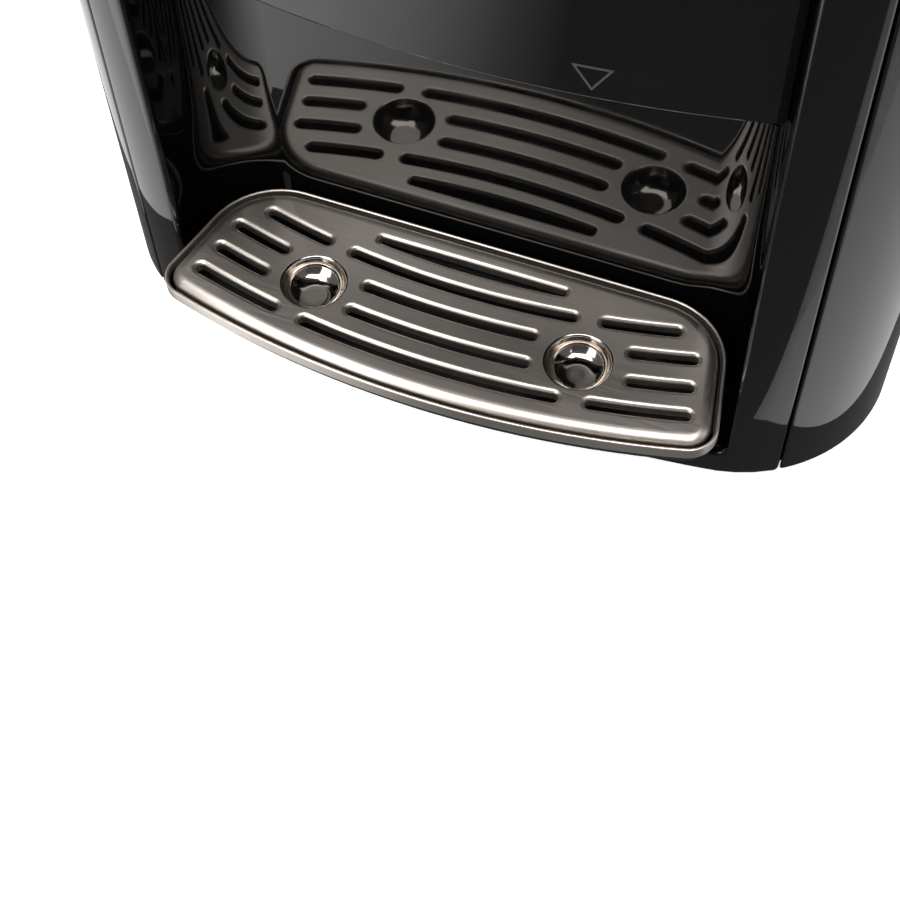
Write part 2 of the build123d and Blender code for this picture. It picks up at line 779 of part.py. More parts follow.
# ---------------------------------------------------------------- nozzles and valves
valve_front_y = cup_y + valve_back
valve_rear_y = valve_front_y + valve_d
valve_mid_y = (valve_front_y + valve_rear_y) / 2
bracket_top_z = alcove_top_z + head_wall + bracket_t
barb_z = alcove_top_z + nozzle_barb_z

for nozzle_name, valve_name, side in (("hot_nozzle", "hot_valve", -1), ("cold_nozzle", "cold_valve", 1)):
    x = side * cup_x
    with BuildPart() as nozzle:
        with BuildSketch(Plane.XY.offset(alcove_top_z - nozzle_drop)):
            with Locations((x, cup_y)):
                Circle(nozzle_r)
        extrude(amount=nozzle_drop + nozzle_top)
        fillet(nozzle.edges().group_by(Axis.Z)[0], nozzle_edge_r)
        with BuildSketch(Plane.XY.offset(alcove_top_z + head_wall)):
            with Locations((x, cup_y)):
                Circle(nozzle_r + nozzle_flange_w)
        extrude(amount=nozzle_flange_w)
        with BuildSketch(Plane.XY.offset(alcove_top_z - nozzle_drop)):
            with Locations((x, cup_y)):
                Circle(nozzle_bore_r)
        extrude(amount=nozzle_drop + nozzle_top - nozzle_flange_w, mode=Mode.SUBTRACT)
        with BuildSketch(Plane(origin=(x, valve_front_y, barb_z), x_dir=(1, 0, 0), z_dir=(0, -1, 0))):
            Circle(tube_bore_r)
        extrude(amount=valve_back - nozzle_bore_r - barb_gap)
    nozzle.part.label = nozzle_name
    export_step(nozzle.part, f"parts/{nozzle_name}.step")

    with BuildPart() as valve:
        with Locations((x, valve_mid_y, bracket_top_z + valve_h / 2)):
            Box(valve_w, valve_d, valve_h)
        with BuildSketch(Plane.XY.offset(bracket_top_z + valve_h)):
            with Locations((x, valve_mid_y)):
                Circle(valve_coil_r)
        extrude(amount=valve_coil_h)
        with BuildSketch(Plane(origin=(x, valve_rear_y, barb_z), x_dir=(-1, 0, 0), z_dir=(0, 1, 0))):
            Circle(tube_bore_r)
        extrude(amount=valve_barb)
    valve.part.label = valve_name
    export_step(valve.part, f"parts/{valve_name}.step")

with BuildPart() as valve_bracket:
    with Locations((0, valve_mid_y, alcove_top_z + head_wall + bracket_t / 2)):
        Box(cup_spacing + 2 * valve_w, valve_d - 2 * bracket_t, bracket_t)
valve_bracket.part.label = "valve_bracket"
export_step(valve_bracket.part, "parts/valve_bracket.step")

# ---------------------------------------------------------------- tanks
hot_top_z = hot_z + hot_foam + hot_tank_h
cold_top_z = cold_z + cold_foam + cold_tank_h
hot_out = (-cup_x, hot_y)
hot_in = (hot_x + 18, hot_y + 15)
hot_drain = (drain_hot_x, hot_y - 10)
cold_out = (cup_x, cold_y - 42)
cold_feed = (cold_x - 44, cold_y - 22)
cold_drain = (cold_x - 24, cold_y - 47)
cold_in_z = cold_z + 120.0
coil_z = cold_z + cold_foam + evaporator_pitch
coil_path_r = cold_tank_r + evaporator_r + coil_play
suction_place = (cold_x + coil_path_r, cold_y)
heater_legs = ((hot_x - heater_half, hot_y), (hot_x + heater_half, hot_y))
heater_bend_r = heater_half - 0.5


def tank(x, y, z, radius, height, top_ports, bottom_ports, foam):
    """Thin drum with pipe stubs that reach out through the foam above and below."""
    with BuildPart() as drum:
        with BuildSketch(Plane.XY.offset(z)):
            with Locations((x, y)):
                Circle(radius)
        extrude(amount=height)
        with BuildSketch(Plane.XY.offset(z + height - sheet_t)):
            with Locations(*top_ports):
                Circle(tube_bore_r)
        extrude(amount=sheet_t + foam + stub)
        with BuildSketch(Plane.XY.offset(z + sheet_t)):
            with Locations(*bottom_ports):
                Circle(tube_bore_r)
        extrude(amount=-(sheet_t + foam + stub))
        with BuildSketch(Plane.XY.offset(z + sheet_t)):
            with Locations((x, y)):
                Circle(radius - sheet_t)
        extrude(amount=height - 2 * sheet_t, mode=Mode.SUBTRACT)
        with BuildSketch(Plane.XY.offset(z + height - sheet_t)):
            with Locations(*top_ports):
                Circle(stub_bore_r)
        extrude(amount=sheet_t + foam + stub, mode=Mode.SUBTRACT)
        with BuildSketch(Plane.XY.offset(z + sheet_t)):
            with Locations(*bottom_ports):
                Circle(stub_bore_r)
        extrude(amount=-(sheet_t + foam + stub), mode=Mode.SUBTRACT)
    return drum


def jacket(x, y, z, radius, height, top_ports, bottom_ports, foam):
    """Foam drum round a tank, with a hole for each pipe stub."""
    with BuildPart() as drum:
        with BuildSketch(Plane.XY.offset(z)):
            with Locations((x, y)):
                Circle(radius + foam)
        extrude(amount=height + 2 * foam)
        with BuildSketch(Plane.XY.offset(z + foam)):
            with Locations((x, y)):
                Circle(radius)
        extrude(amount=height, mode=Mode.SUBTRACT)
        with BuildSketch(Plane.XY.offset(z)):
            with Locations(*bottom_ports):
                Circle(tube_bore_r)
        extrude(amount=foam, mode=Mode.SUBTRACT)
        with BuildSketch(Plane.XY.offset(z + foam + height)):
            with Locations(*top_ports):
                Circle(tube_bore_r)
        extrude(amount=foam, mode=Mode.SUBTRACT)
    return drum


hot_low_z = hot_z + hot_foam
hot_ports = ([hot_out], [hot_in, hot_drain])
hot_tank = tank(hot_x, hot_y, hot_low_z, hot_tank_r, hot_tank_h, *hot_ports, hot_foam)
hot_tank.part.label = "hot_tank"
export_step(hot_tank.part, "parts/hot_tank.step")

hot_tank_jacket = jacket(hot_x, hot_y, hot_z, hot_tank_r, hot_tank_h, *hot_ports, hot_foam)
hot_tank_jacket.part.label = "hot_tank_jacket"
export_step(hot_tank_jacket.part, "parts/hot_tank_jacket.step")

heater_low_z = hot_low_z + sheet_t
heater_path = pipe_path(
    (
        (*heater_legs[0], heater_low_z),
        (*heater_legs[0], heater_low_z + heater_h),
        (*heater_legs[1], heater_low_z + heater_h),
        (*heater_legs[1], heater_low_z),
    ),
    heater_bend_r,
)
with BuildPart() as heater_element:
    with BuildSketch(heater_path.line ^ 0):
        Circle(heater_r)
    sweep(path=heater_path.line)
heater_element.part.label = "heater_element"
export_step(heater_element.part, "parts/heater_element.step")

side_port_plane = Plane(origin=(cold_x, cold_y, cold_in_z), x_dir=(0, -1, 0), z_dir=(-1, 0, 0))
side_port_end = cold_tank_r + cold_foam + stub
cold_low_z = cold_z + cold_foam
cold_ports = ([cold_out], [cold_feed, cold_drain])

with BuildPart() as cold_tank:
    add(tank(cold_x, cold_y, cold_low_z, cold_tank_r, cold_tank_h, *cold_ports, cold_foam))
    with BuildSketch(side_port_plane.offset(cold_tank_r - sheet_t)):
        Circle(tube_bore_r)
    extrude(amount=sheet_t + cold_foam + stub)
    with BuildSketch(side_port_plane.offset(cold_tank_r - 2 * sheet_t)):
        Circle(stub_bore_r)
    extrude(amount=2 * sheet_t + cold_foam + stub, mode=Mode.SUBTRACT)
cold_tank.part.label = "cold_tank"
export_step(cold_tank.part, "parts/cold_tank.step")

with BuildPart() as cold_tank_jacket:
    add(jacket(cold_x, cold_y, cold_z, cold_tank_r, cold_tank_h, *cold_ports, cold_foam))
    with BuildSketch(side_port_plane.offset(cold_tank_r - sheet_t)):
        Circle(tube_bore_r)
    extrude(amount=cold_foam + 2 * sheet_t, mode=Mode.SUBTRACT)
    with BuildSketch(Plane.XY.offset(coil_z - 2 * evaporator_r)):
        with Locations((cold_x, cold_y)):
            Circle(cold_tank_r + 2 * evaporator_r + 4 * coil_play)
            Circle(cold_tank_r - sheet_t, mode=Mode.SUBTRACT)
    extrude(amount=evaporator_h + 4 * evaporator_r, mode=Mode.SUBTRACT)
    with BuildSketch(Plane.XY.offset(cold_z)):
        with Locations(suction_place):
            Circle(suction_r)
    extrude(amount=coil_z - cold_z, mode=Mode.SUBTRACT)
cold_tank_jacket.part.label = "cold_tank_jacket"
export_step(cold_tank_jacket.part, "parts/cold_tank_jacket.step")

with BuildLine(Plane.XY) as coil_path:
    Helix(evaporator_pitch, evaporator_h, coil_path_r, center=(cold_x, cold_y, coil_z))
with BuildPart() as evaporator_coil:
    with BuildSketch(coil_path.line ^ 0):
        Circle(evaporator_r)
    sweep(path=coil_path.line, is_frenet=True)
evaporator_coil.part.label = "evaporator_coil"
export_step(evaporator_coil.part, "parts/evaporator_coil.step")

# ---------------------------------------------------------------- cooling machine
plate_z = floor_z + grommet_h
shell_z = plate_z + plate_t
grommet_reach = plate_half - 8
grommet_rows = (compressor_y - grommet_reach, compressor_y + grommet_reach)
grommet_places = [(compressor_x + step, y) for step in (-grommet_reach, grommet_reach) for y in grommet_rows]

with BuildPart() as compressor:
    with BuildSketch(Plane.XY.offset(shell_z)):
        with Locations((compressor_x, compressor_y)):
            Circle(compressor_r)
    extrude(amount=compressor_h)
    fillet(compressor.edges().group_by(Axis.Z)[-1], dome_r)
    fillet(compressor.edges().group_by(Axis.Z)[0], sole_r)
    with BuildSketch(Plane.XY.offset(shell_z + compressor_h * weld_share)):
        with Locations((compressor_x, compressor_y)):
            Circle(compressor_r + weld_out)
    extrude(amount=weld_h)
    with BuildSketch(Plane.XY.offset(plate_z)):
        with Locations((compressor_x, compressor_y)):
            RectangleRounded(2 * plate_half, 2 * plate_half, 8)
    extrude(amount=plate_t)
compressor.part.label = "compressor"
export_step(compressor.part, "parts/compressor.step")

with BuildPart() as compressor_grommets:
    with BuildSketch(Plane.XY.offset(floor_z)):
        with Locations(*grommet_places):
            Circle(grommet_r)
    extrude(amount=grommet_h)
    chamfer(compressor_grommets.edges().group_by(Axis.Z)[-1], 1)
compressor_grommets.part.label = "compressor_grommets"
export_step(compressor_grommets.part, "parts/compressor_grommets.step")

dome_z = shell_z + compressor_h
suction_rise = 14.0
suction_bend_r = 8.0
suction_path = pipe_path(
    (
        (compressor_x, compressor_y, dome_z - 1),
        (compressor_x, compressor_y, dome_z + suction_rise),
        (*suction_place, dome_z + suction_rise),
        (*suction_place, coil_z - 6),
    ),
    suction_bend_r,
)
with BuildPart() as suction_line:
    with BuildSketch(suction_path.line ^ 0):
        Circle(suction_r)
    sweep(path=suction_path.line)
    add(compressor.part, mode=Mode.SUBTRACT)
suction_line.part.label = "suction_line"
export_step(suction_line.part, "parts/suction_line.step")

condenser_y = back_in_y - condenser_gap
run_pitch = condenser_h / (condenser_runs - 1)
run_half = condenser_w / 2
serpentine = []
for run in range(condenser_runs):
    side = -1 if run % 2 == 0 else 1
    run_z = condenser_low_z + run * run_pitch
    serpentine.append((side * run_half, condenser_y, run_z))
    serpentine.append((-side * run_half, condenser_y, run_z))
condenser_path = pipe_path(serpentine, run_pitch / 2 - 0.5)
clip_x = run_half - clip_inset
clip_front_y = condenser_y + condenser_tube_r
clip_mid_y = (clip_front_y + back_in_y) / 2
clip_rows = (condenser_low_z + run_pitch, condenser_low_z + condenser_h - run_pitch)
clip_places = [(x, clip_mid_y, z) for x in (-clip_x, clip_x) for z in clip_rows]
wire_over = 4.0
wire_y = condenser_y + condenser_tube_r + wire_r / 2
wire_pitch = 2 * (run_half - 20) / (wire_count - 1)

with BuildPart() as condenser:
    with BuildSketch(condenser_path.line ^ 0):
        Circle(condenser_tube_r)
    sweep(path=condenser_path.line)
    with BuildSketch(Plane.XY.offset(condenser_low_z - wire_over)):
        with Locations((0, wire_y)):
            with GridLocations(wire_pitch, 1, wire_count, 1):
                Circle(wire_r)
    extrude(amount=condenser_h + 2 * wire_over)
    with Locations(*clip_places):
        Box(clip_w, back_in_y - clip_front_y, clip_h)
condenser.part.label = "condenser"
export_step(condenser.part, "parts/condenser.step")

fan_front_y = back_in_y - fan_t
fan_plane = Plane(origin=(fan_x, back_in_y, fan_z), x_dir=(1, 0, 0), z_dir=(0, -1, 0))
fan_screw_inset = 5.0
fan_screw_r = 2.1

with BuildPart() as fan_frame:
    with BuildSketch(fan_plane):
        RectangleRounded(fan_size, fan_size, fan_screw_inset)
        Circle(fan_bore_r, mode=Mode.SUBTRACT)
        with GridLocations(fan_size - 2 * fan_screw_inset, fan_size - 2 * fan_screw_inset, 2, 2):
            Circle(fan_screw_r, mode=Mode.SUBTRACT)
    extrude(amount=fan_t)
    with BuildSketch(fan_plane):
        Circle(fan_hub_r)
        Rectangle(2 * fan_bore_r + 1, strut_w)
        Rectangle(strut_w, 2 * fan_bore_r + 1)
        Circle(fan_shaft_r + fan_shaft_gap, mode=Mode.SUBTRACT)
    extrude(amount=fan_hub_t)
fan_frame.part.label = "fan_frame"
export_step(fan_frame.part, "parts/fan_frame.step")

rotor_plane = fan_plane.offset(fan_hub_t + 1)
rotor_depth = fan_t - fan_hub_t - 2
blade_tip_r = fan_bore_r - fan_blade_gap
with BuildPart() as fan_rotor:
    with BuildSketch(rotor_plane):
        Circle(fan_hub_r + 1)
    extrude(amount=rotor_depth)
    with BuildSketch(fan_plane.offset(1)):
        Circle(fan_shaft_r)
    extrude(amount=fan_hub_t + 2)
    with Locations(rotor_plane.offset(rotor_depth / 2)):
        with PolarLocations((fan_hub_r + blade_tip_r) / 2, fan_blades):
            Box(blade_tip_r - fan_hub_r, blade_chord, blade_t, rotation=(blade_pitch, 0, 0))
    with BuildSketch(rotor_plane.offset(-2)):
        Circle(2 * fan_bore_r)
        Circle(blade_tip_r, mode=Mode.SUBTRACT)
    extrude(amount=rotor_depth + 4, mode=Mode.SUBTRACT)
fan_rotor.part.label = "fan_rotor"
export_step(fan_rotor.part, "parts/fan_rotor.step")

# ---------------------------------------------------------------- power electronics
post_h = 8.0
power_w, power_h = 110.0, 130.0
power_post_inset = 6.0
power_y, power_z = 70.0, 345.0
relay_w, relay_h, relay_t = 19.0, 15.0, 15.0
relay_places = ((-34, 46), (-34, 26), (-34, 6))
capacitor_r, capacitor_h = 8.0, 24.0
capacitor_places = ((30, 44), (30, 24))
transformer_w, transformer_h, transformer_t = 44.0, 38.0, 26.0
transformer_place = (20, -34)
board_x = -body_w / 2 + wall + post_h
board_plane = Plane(origin=(board_x, power_y, power_z), x_dir=(0, 1, 0), z_dir=(1, 0, 0))

with BuildPart() as power_board:
    with BuildSketch(board_plane):
        Rectangle(power_w, power_h)
    extrude(amount=board_t)
    with BuildSketch(board_plane):
        with GridLocations(power_w - 2 * power_post_inset, power_h - 2 * power_post_inset, 2, 2):
            Circle(post_r)
    extrude(amount=-post_h)
    with BuildSketch(board_plane.offset(board_t)):
        with Locations(*relay_places):
            Rectangle(relay_w, relay_h)
    extrude(amount=relay_t)
    with BuildSketch(board_plane.offset(board_t)):
        with Locations(*capacitor_places):
            Circle(capacitor_r)
    extrude(amount=capacitor_h)
power_board.part.label = "power_board"
export_step(power_board.part, "parts/power_board.step")

with BuildPart() as transformer:
    with BuildSketch(board_plane.offset(board_t)):
        with Locations(transformer_place):
            Rectangle(transformer_w, transformer_h)
    extrude(amount=transformer_t)
    chamfer(transformer.edges().group_by(Axis.X)[-1], 2)
transformer.part.label = "transformer"
export_step(transformer.part, "parts/transformer.step")

# ---------------------------------------------------------------- rear fittings
rear_plane = Plane(origin=(0, back_out_y, 0), x_dir=(1, 0, 0), z_dir=(0, -1, 0))
fit_out = fitting_end_y - back_out_y
cap_cover = 4.0

with BuildPart() as water_inlet:
    with BuildSketch(rear_plane.offset(-hex_t)):
        with Locations((inlet_x, inlet_z)):
            RegularPolygon(hex_r, 6)
    extrude(amount=hex_t)
    with BuildSketch(rear_plane.offset(-fit_out)):
        with Locations((inlet_x, inlet_z)):
            Circle(inlet_r)
    extrude(amount=fit_out - hex_t)
    fillet(water_inlet.edges().sort_by(Axis.Y)[-1], nozzle_edge_r)
    with BuildSketch(rear_plane):
        with Locations((inlet_x, inlet_z)):
            Circle(thread_r)
    extrude(amount=back_t + nut_t)
    with BuildSketch(rear_plane.offset(back_t)):
        with Locations((inlet_x, inlet_z)):
            RegularPolygon(nut_r, 6)
    extrude(amount=nut_t)
    with BuildSketch(rear_plane.offset(back_t + nut_t)):
        with Locations((inlet_x, inlet_z)):
            Circle(tube_bore_r)
    extrude(amount=barb_len)
    with BuildSketch(rear_plane.offset(-fit_out)):
        with Locations((inlet_x, inlet_z)):
            Circle(inlet_bore_r)
    extrude(amount=inlet_bore_l, mode=Mode.SUBTRACT)
water_inlet.part.label = "water_inlet"
export_step(water_inlet.part, "parts/water_inlet.step")

drain_places = ((drain_hot_x, drain_z), (drain_cold_x, drain_z))
with BuildPart() as drain_pipes:
    with BuildSketch(rear_plane.offset(cap_cover - fit_out)):
        with Locations(*drain_places):
            Circle(drain_r)
    extrude(amount=fit_out - cap_cover + back_t)
    with BuildSketch(rear_plane.offset(-rear_flange_t)):
        with Locations(*drain_places):
            Circle(cap_r)
    extrude(amount=rear_flange_t)
    with BuildSketch(rear_plane.offset(back_t)):
        with Locations(*drain_places):
            Circle(cap_r)
    extrude(amount=nut_t)
    with BuildSketch(rear_plane.offset(back_t + nut_t)):
        with Locations(*drain_places):
            Circle(tube_bore_r)
    extrude(amount=barb_len)
    with BuildSketch(rear_plane.offset(-fit_out)):
        with Locations(*drain_places):
            Circle(stub_bore_r)
    extrude(amount=2 * fit_out + barb_len + nut_t, mode=Mode.SUBTRACT)
drain_pipes.part.label = "drain_pipes"
export_step(drain_pipes.part, "parts/drain_pipes.step")

for cap_name, cap_place in zip(("hot_drain_cap", "cold_drain_cap"), drain_places):
    with BuildPart() as cap:
        with BuildSketch(rear_plane.offset(-fit_out)):
            with Locations(cap_place):
                Circle(cap_r)
                with PolarLocations(cap_r, cap_grips):
                    Circle(cap_grip_r, mode=Mode.SUBTRACT)
        extrude(amount=fit_out - rear_flange_t - cap_gap)
        with BuildSketch(rear_plane.offset(cap_cover - cap_gap - fit_out)):
            with Locations(cap_place):
                Circle(drain_r + cap_gap)
        extrude(amount=fit_out, mode=Mode.SUBTRACT)
    cap.part.label = cap_name
    export_step(cap.part, f"parts/{cap_name}.step")

socket_in_w, socket_in_h = socket_w - 2 * socket_wall, socket_h - 2 * socket_wall
socket_floor = socket_depth - 2.0
pin_places = (
    (socket_x - pin_pitch, socket_z - pin_drop),
    (socket_x + pin_pitch, socket_z - pin_drop),
    (socket_x, socket_z),
)

with BuildPart() as power_inlet:
    with BuildSketch(rear_plane.offset(-socket_flange_t)):
        with Locations((socket_x, socket_z)):
            SlotOverall(socket_flange_w, socket_flange_h)
    extrude(amount=socket_flange_t)
    with BuildSketch(rear_plane):
        with Locations((socket_x, socket_z)):
            Rectangle(socket_w, socket_h)
    extrude(amount=socket_depth)
    with BuildSketch(rear_plane.offset(-socket_flange_t)):
        with Locations((socket_x, socket_z)):
            Rectangle(socket_in_w, socket_in_h)
    extrude(amount=socket_flange_t + socket_floor, mode=Mode.SUBTRACT)
    with BuildSketch(rear_plane.offset(socket_floor)):
        with Locations(*pin_places):
            Rectangle(pin_w, pin_h)
    extrude(amount=socket_flange_t - socket_floor)
    with BuildSketch(rear_plane.offset(socket_depth)):
        with Locations((socket_x, socket_z)):
            with GridLocations(pin_pitch, 1, 3, 1):
                Rectangle(tag_w, tag_t)
    extrude(amount=tag_l)
power_inlet.part.label = "power_inlet"
export_step(power_inlet.part, "parts/power_inlet.step")

rocker_pivot_y = back_out_y - rocker_low
pivot_plane = Plane(origin=(rocker_x, 0, 0), x_dir=(0, 1, 0), z_dir=(1, 0, 0))
tilt = radians(rocker_tilt)
rocker_places = [(rocker_x, z) for z in rocker_z]
rocker_hole_w, rocker_hole_h = rocker_body_w - 2 * rocker_wall, rocker_body_h - 2 * rocker_wall

with BuildPart() as switch_housings:
    with BuildSketch(rear_plane.offset(-rear_flange_t)):
        with Locations(*rocker_places):
            Rectangle(rocker_body_w + 2 * rocker_flange_w, rocker_body_h + 2 * rocker_flange_w)
    extrude(amount=rear_flange_t)
    with BuildSketch(rear_plane):
        with Locations(*rocker_places):
            Rectangle(rocker_body_w, rocker_body_h)
    extrude(amount=rocker_body_depth)
    with BuildSketch(rear_plane.offset(-rear_flange_t)):
        with Locations(*rocker_places):
            Rectangle(rocker_hole_w, rocker_hole_h)
    extrude(amount=rocker_body_depth - rear_flange_t, mode=Mode.SUBTRACT)
    with BuildSketch(pivot_plane):
        with Locations(*[(rocker_pivot_y, z) for z in rocker_z]):
            Circle(rocker_pin_r + rocker_pin_gap)
    extrude(amount=rocker_body_w / 2, both=True, mode=Mode.SUBTRACT)
switch_housings.part.label = "switch_housings"
export_step(switch_housings.part, "parts/switch_housings.step")

for switch_name, z in zip(("hot_switch", "cold_switch"), rocker_z):
    with BuildPart() as rocker:
        rocker_plane = Plane(
            origin=(rocker_x, rocker_pivot_y, z),
            x_dir=(0, cos(tilt), -sin(tilt)),
            z_dir=(1, 0, 0),
        )
        with BuildSketch(rocker_plane):
            with BuildLine():
                Polyline(
                    (-rocker_low, -rocker_half_h),
                    (rocker_crown, -rocker_half_h),
                    (rocker_waist, 0),
                    (rocker_crown, rocker_half_h),
                    (-rocker_low, rocker_half_h),
                    close=True,
                )
            make_face()
        extrude(amount=rocker_hole_w / 2 - rocker_gap, both=True)
        with BuildSketch(rocker_plane):
            Circle(rocker_pin_r)
        extrude(amount=rocker_hole_w / 2 + rocker_pin_l, both=True)
    rocker.part.label = switch_name
    export_step(rocker.part, f"parts/{switch_name}.step")

# ---------------------------------------------------------------- tubes
barb_tip_y = valve_rear_y + valve_barb
drop_y = barb_tip_y + 10
cold_rise_z = cold_top_z + cold_foam + stub + suction_rise
behind_fan_y = fan_front_y - 16
tube_end_y = back_in_y - nut_t - barb_len + barb_hold + 1
tube_low_z = 38.0
bend_r = 11.0
tight_bend_r = 9.0
runs = {
    "hot_tube": (
        (*hot_out, hot_top_z + hot_foam + stub - barb_hold),
        (*hot_out, barb_z),
        (-cup_x, barb_tip_y - barb_hold, barb_z),
    ),
    "cold_tube": (
        (*cold_out, cold_top_z + cold_foam + stub - barb_hold),
        (*cold_out, cold_rise_z),
        (cup_x, drop_y, cold_rise_z),
        (cup_x, drop_y, barb_z),
        (cup_x, barb_tip_y - barb_hold, barb_z),
    ),
    "supply_tube": (
        (inlet_x, tube_end_y, inlet_z),
        (inlet_x, behind_fan_y, inlet_z),
        (inlet_x, behind_fan_y, cold_in_z),
        (inlet_x, cold_y, cold_in_z),
        (cold_x - side_port_end + barb_hold, cold_y, cold_in_z),
    ),
    "feed_tube": (
        (*cold_feed, cold_z - stub + barb_hold),
        (*cold_feed, tube_low_z),
        (*hot_in, tube_low_z),
        (*hot_in, hot_z - stub + barb_hold),
    ),
    "hot_drain_tube": (
        (*hot_drain, hot_z - stub + barb_hold),
        (*hot_drain, drain_z),
        (drain_hot_x, tube_end_y, drain_z),
    ),
    "cold_drain_tube": (
        (*cold_drain, cold_z - stub + barb_hold),
        (*cold_drain, drain_z),
        (drain_cold_x, cold_drain[1], drain_z),
        (drain_cold_x, tube_end_y, drain_z),
    ),
}
for tube_name, points in runs.items():
    route = pipe_path(points, tight_bend_r if tube_name == "cold_tube" else bend_r)
    with BuildPart() as tube:
        with BuildSketch(route.line ^ 0):
            Circle(tube_r)
            Circle(tube_bore_r, mode=Mode.SUBTRACT)
        sweep(path=route.line)
    tube.part.label = tube_name
    export_step(tube.part, f"parts/{tube_name}.step")
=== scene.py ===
"""Looks of a countertop water dispenser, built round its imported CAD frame.

Lengths in this file are millimetres until MM turns them into Blender's metres.
"""

import logging
import math
from dataclasses import dataclass, field
from enum import Enum
from typing import Sequence

import bmesh
import bpy
import numpy as np
from mathutils import Matrix, Vector
from mathutils.geometry import tessellate_polygon


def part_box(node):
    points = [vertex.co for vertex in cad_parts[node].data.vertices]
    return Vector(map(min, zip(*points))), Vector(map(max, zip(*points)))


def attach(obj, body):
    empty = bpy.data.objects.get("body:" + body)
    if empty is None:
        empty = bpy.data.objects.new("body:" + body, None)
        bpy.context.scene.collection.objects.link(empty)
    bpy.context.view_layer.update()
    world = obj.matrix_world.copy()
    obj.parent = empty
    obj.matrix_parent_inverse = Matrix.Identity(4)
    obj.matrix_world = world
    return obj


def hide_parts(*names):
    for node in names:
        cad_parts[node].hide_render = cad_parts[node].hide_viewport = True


MM = 0.001
WELD = 0.002     # points closer than this are one point
SLIVER = 0.0005  # edges shorter than this are dropped
Array = np.ndarray
log = logging.getLogger("dispenser")
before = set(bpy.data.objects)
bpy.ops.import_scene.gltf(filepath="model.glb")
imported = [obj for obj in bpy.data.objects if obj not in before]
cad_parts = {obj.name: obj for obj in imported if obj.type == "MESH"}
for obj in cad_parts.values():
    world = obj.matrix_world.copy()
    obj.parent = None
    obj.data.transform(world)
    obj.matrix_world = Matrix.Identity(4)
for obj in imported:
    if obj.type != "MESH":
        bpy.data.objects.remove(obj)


# ------------------------------------------------------------------ outlines in the plane
def arc(centre: Sequence[float], radius: float, start: float, end: float, steps: int) -> Array:
    """Points on a circular arc: centre plus radius times (cos, sin) of evenly spaced angles.

    Args:
        centre: Centre of the circle.
        radius: Radius of the circle.
        start: First angle in degrees.
        end: Last angle in degrees.
        steps: Number of chords.

    Returns:
        Array of steps + 1 points.
    """
    angle = np.radians(np.linspace(start, end, steps + 1))
    return np.stack([centre[0] + radius * np.cos(angle), centre[1] + radius * np.sin(angle)], axis=1)


def soften(corners: Array, radius: float | Sequence[float], steps: int = 6) -> Array:
    """Rounds each sharp corner of a closed outline with an arc tangent to both its sides.

    The arc starts radius * tan(turn / 2) before the corner; points with a turn under 20 degrees stay.

    Args:
        corners: Outline, one row a corner, counter-clockwise.
        radius: One radius, or one for each corner.
        steps: Chords in each rounded corner.

    Returns:
        The rounded outline.
    """
    radii = np.broadcast_to(np.asarray(radius, float), (len(corners),))
    before = corners - np.roll(corners, 1, axis=0)
    after = np.roll(corners, -1, axis=0) - corners
    before = before / np.linalg.norm(before, axis=1, keepdims=True)
    after = after / np.linalg.norm(after, axis=1, keepdims=True)
    turn = np.arctan2(before[:, 0] * after[:, 1] - before[:, 1] * after[:, 0], (before * after).sum(1))
    pieces = []
    for corner, back, ahead, angle, r in zip(corners, before, after, turn, radii):
        if abs(angle) < math.radians(20) or r <= 0:
            pieces.append(corner[None])
            continue
        cut = r * math.tan(abs(angle) / 2)
        side = math.copysign(1.0, angle)
        centre = corner - back * cut + side * r * np.array([-back[1], back[0]])
        first = math.degrees(math.atan2(*((corner - back * cut) - centre)[::-1]))
        pieces.append(arc(centre, r, first, first + math.degrees(angle), steps))
    return np.concatenate(pieces)


def grow(outline: Array, distance: float) -> Array:
    """Moves each point of a closed counter-clockwise outline outwards.

    Each point moves by distance along the mean of its two sides' normals, divided by the cosine of
    half the turn, so straight sides stay parallel.

    Args:
        outline: The outline.
        distance: How far out, negative for in.

    Returns:
        The grown outline, with the same number of points.
    """
    before = outline - np.roll(outline, 1, axis=0)
    after = np.roll(outline, -1, axis=0) - outline
    n0 = np.stack([before[:, 1], -before[:, 0]], 1) / np.linalg.norm(before, axis=1, keepdims=True)
    n1 = np.stack([after[:, 1], -after[:, 0]], 1) / np.linalg.norm(after, axis=1, keepdims=True)
    mean = n0 + n1
    mean = mean / np.linalg.norm(mean, axis=1, keepdims=True)
    return outline + distance * mean / (mean * n0).sum(1, keepdims=True)


def circle(centre: Sequence[float], radius: float, count: int = 64) -> Array:
    """Closed circular outline, counter-clockwise."""
    return arc(centre, radius, 0, 360 - 360 / count, count - 1)


def quarter(radius: float, steps: int = 5) -> tuple[Array, Array]:
    """Quarter-round edge: how far in from the side, and how far below the face, from face to side."""
    angle = np.linspace(0, math.pi / 2, steps + 1)
    return radius * (1 - np.sin(angle)), radius * (1 - np.cos(angle))


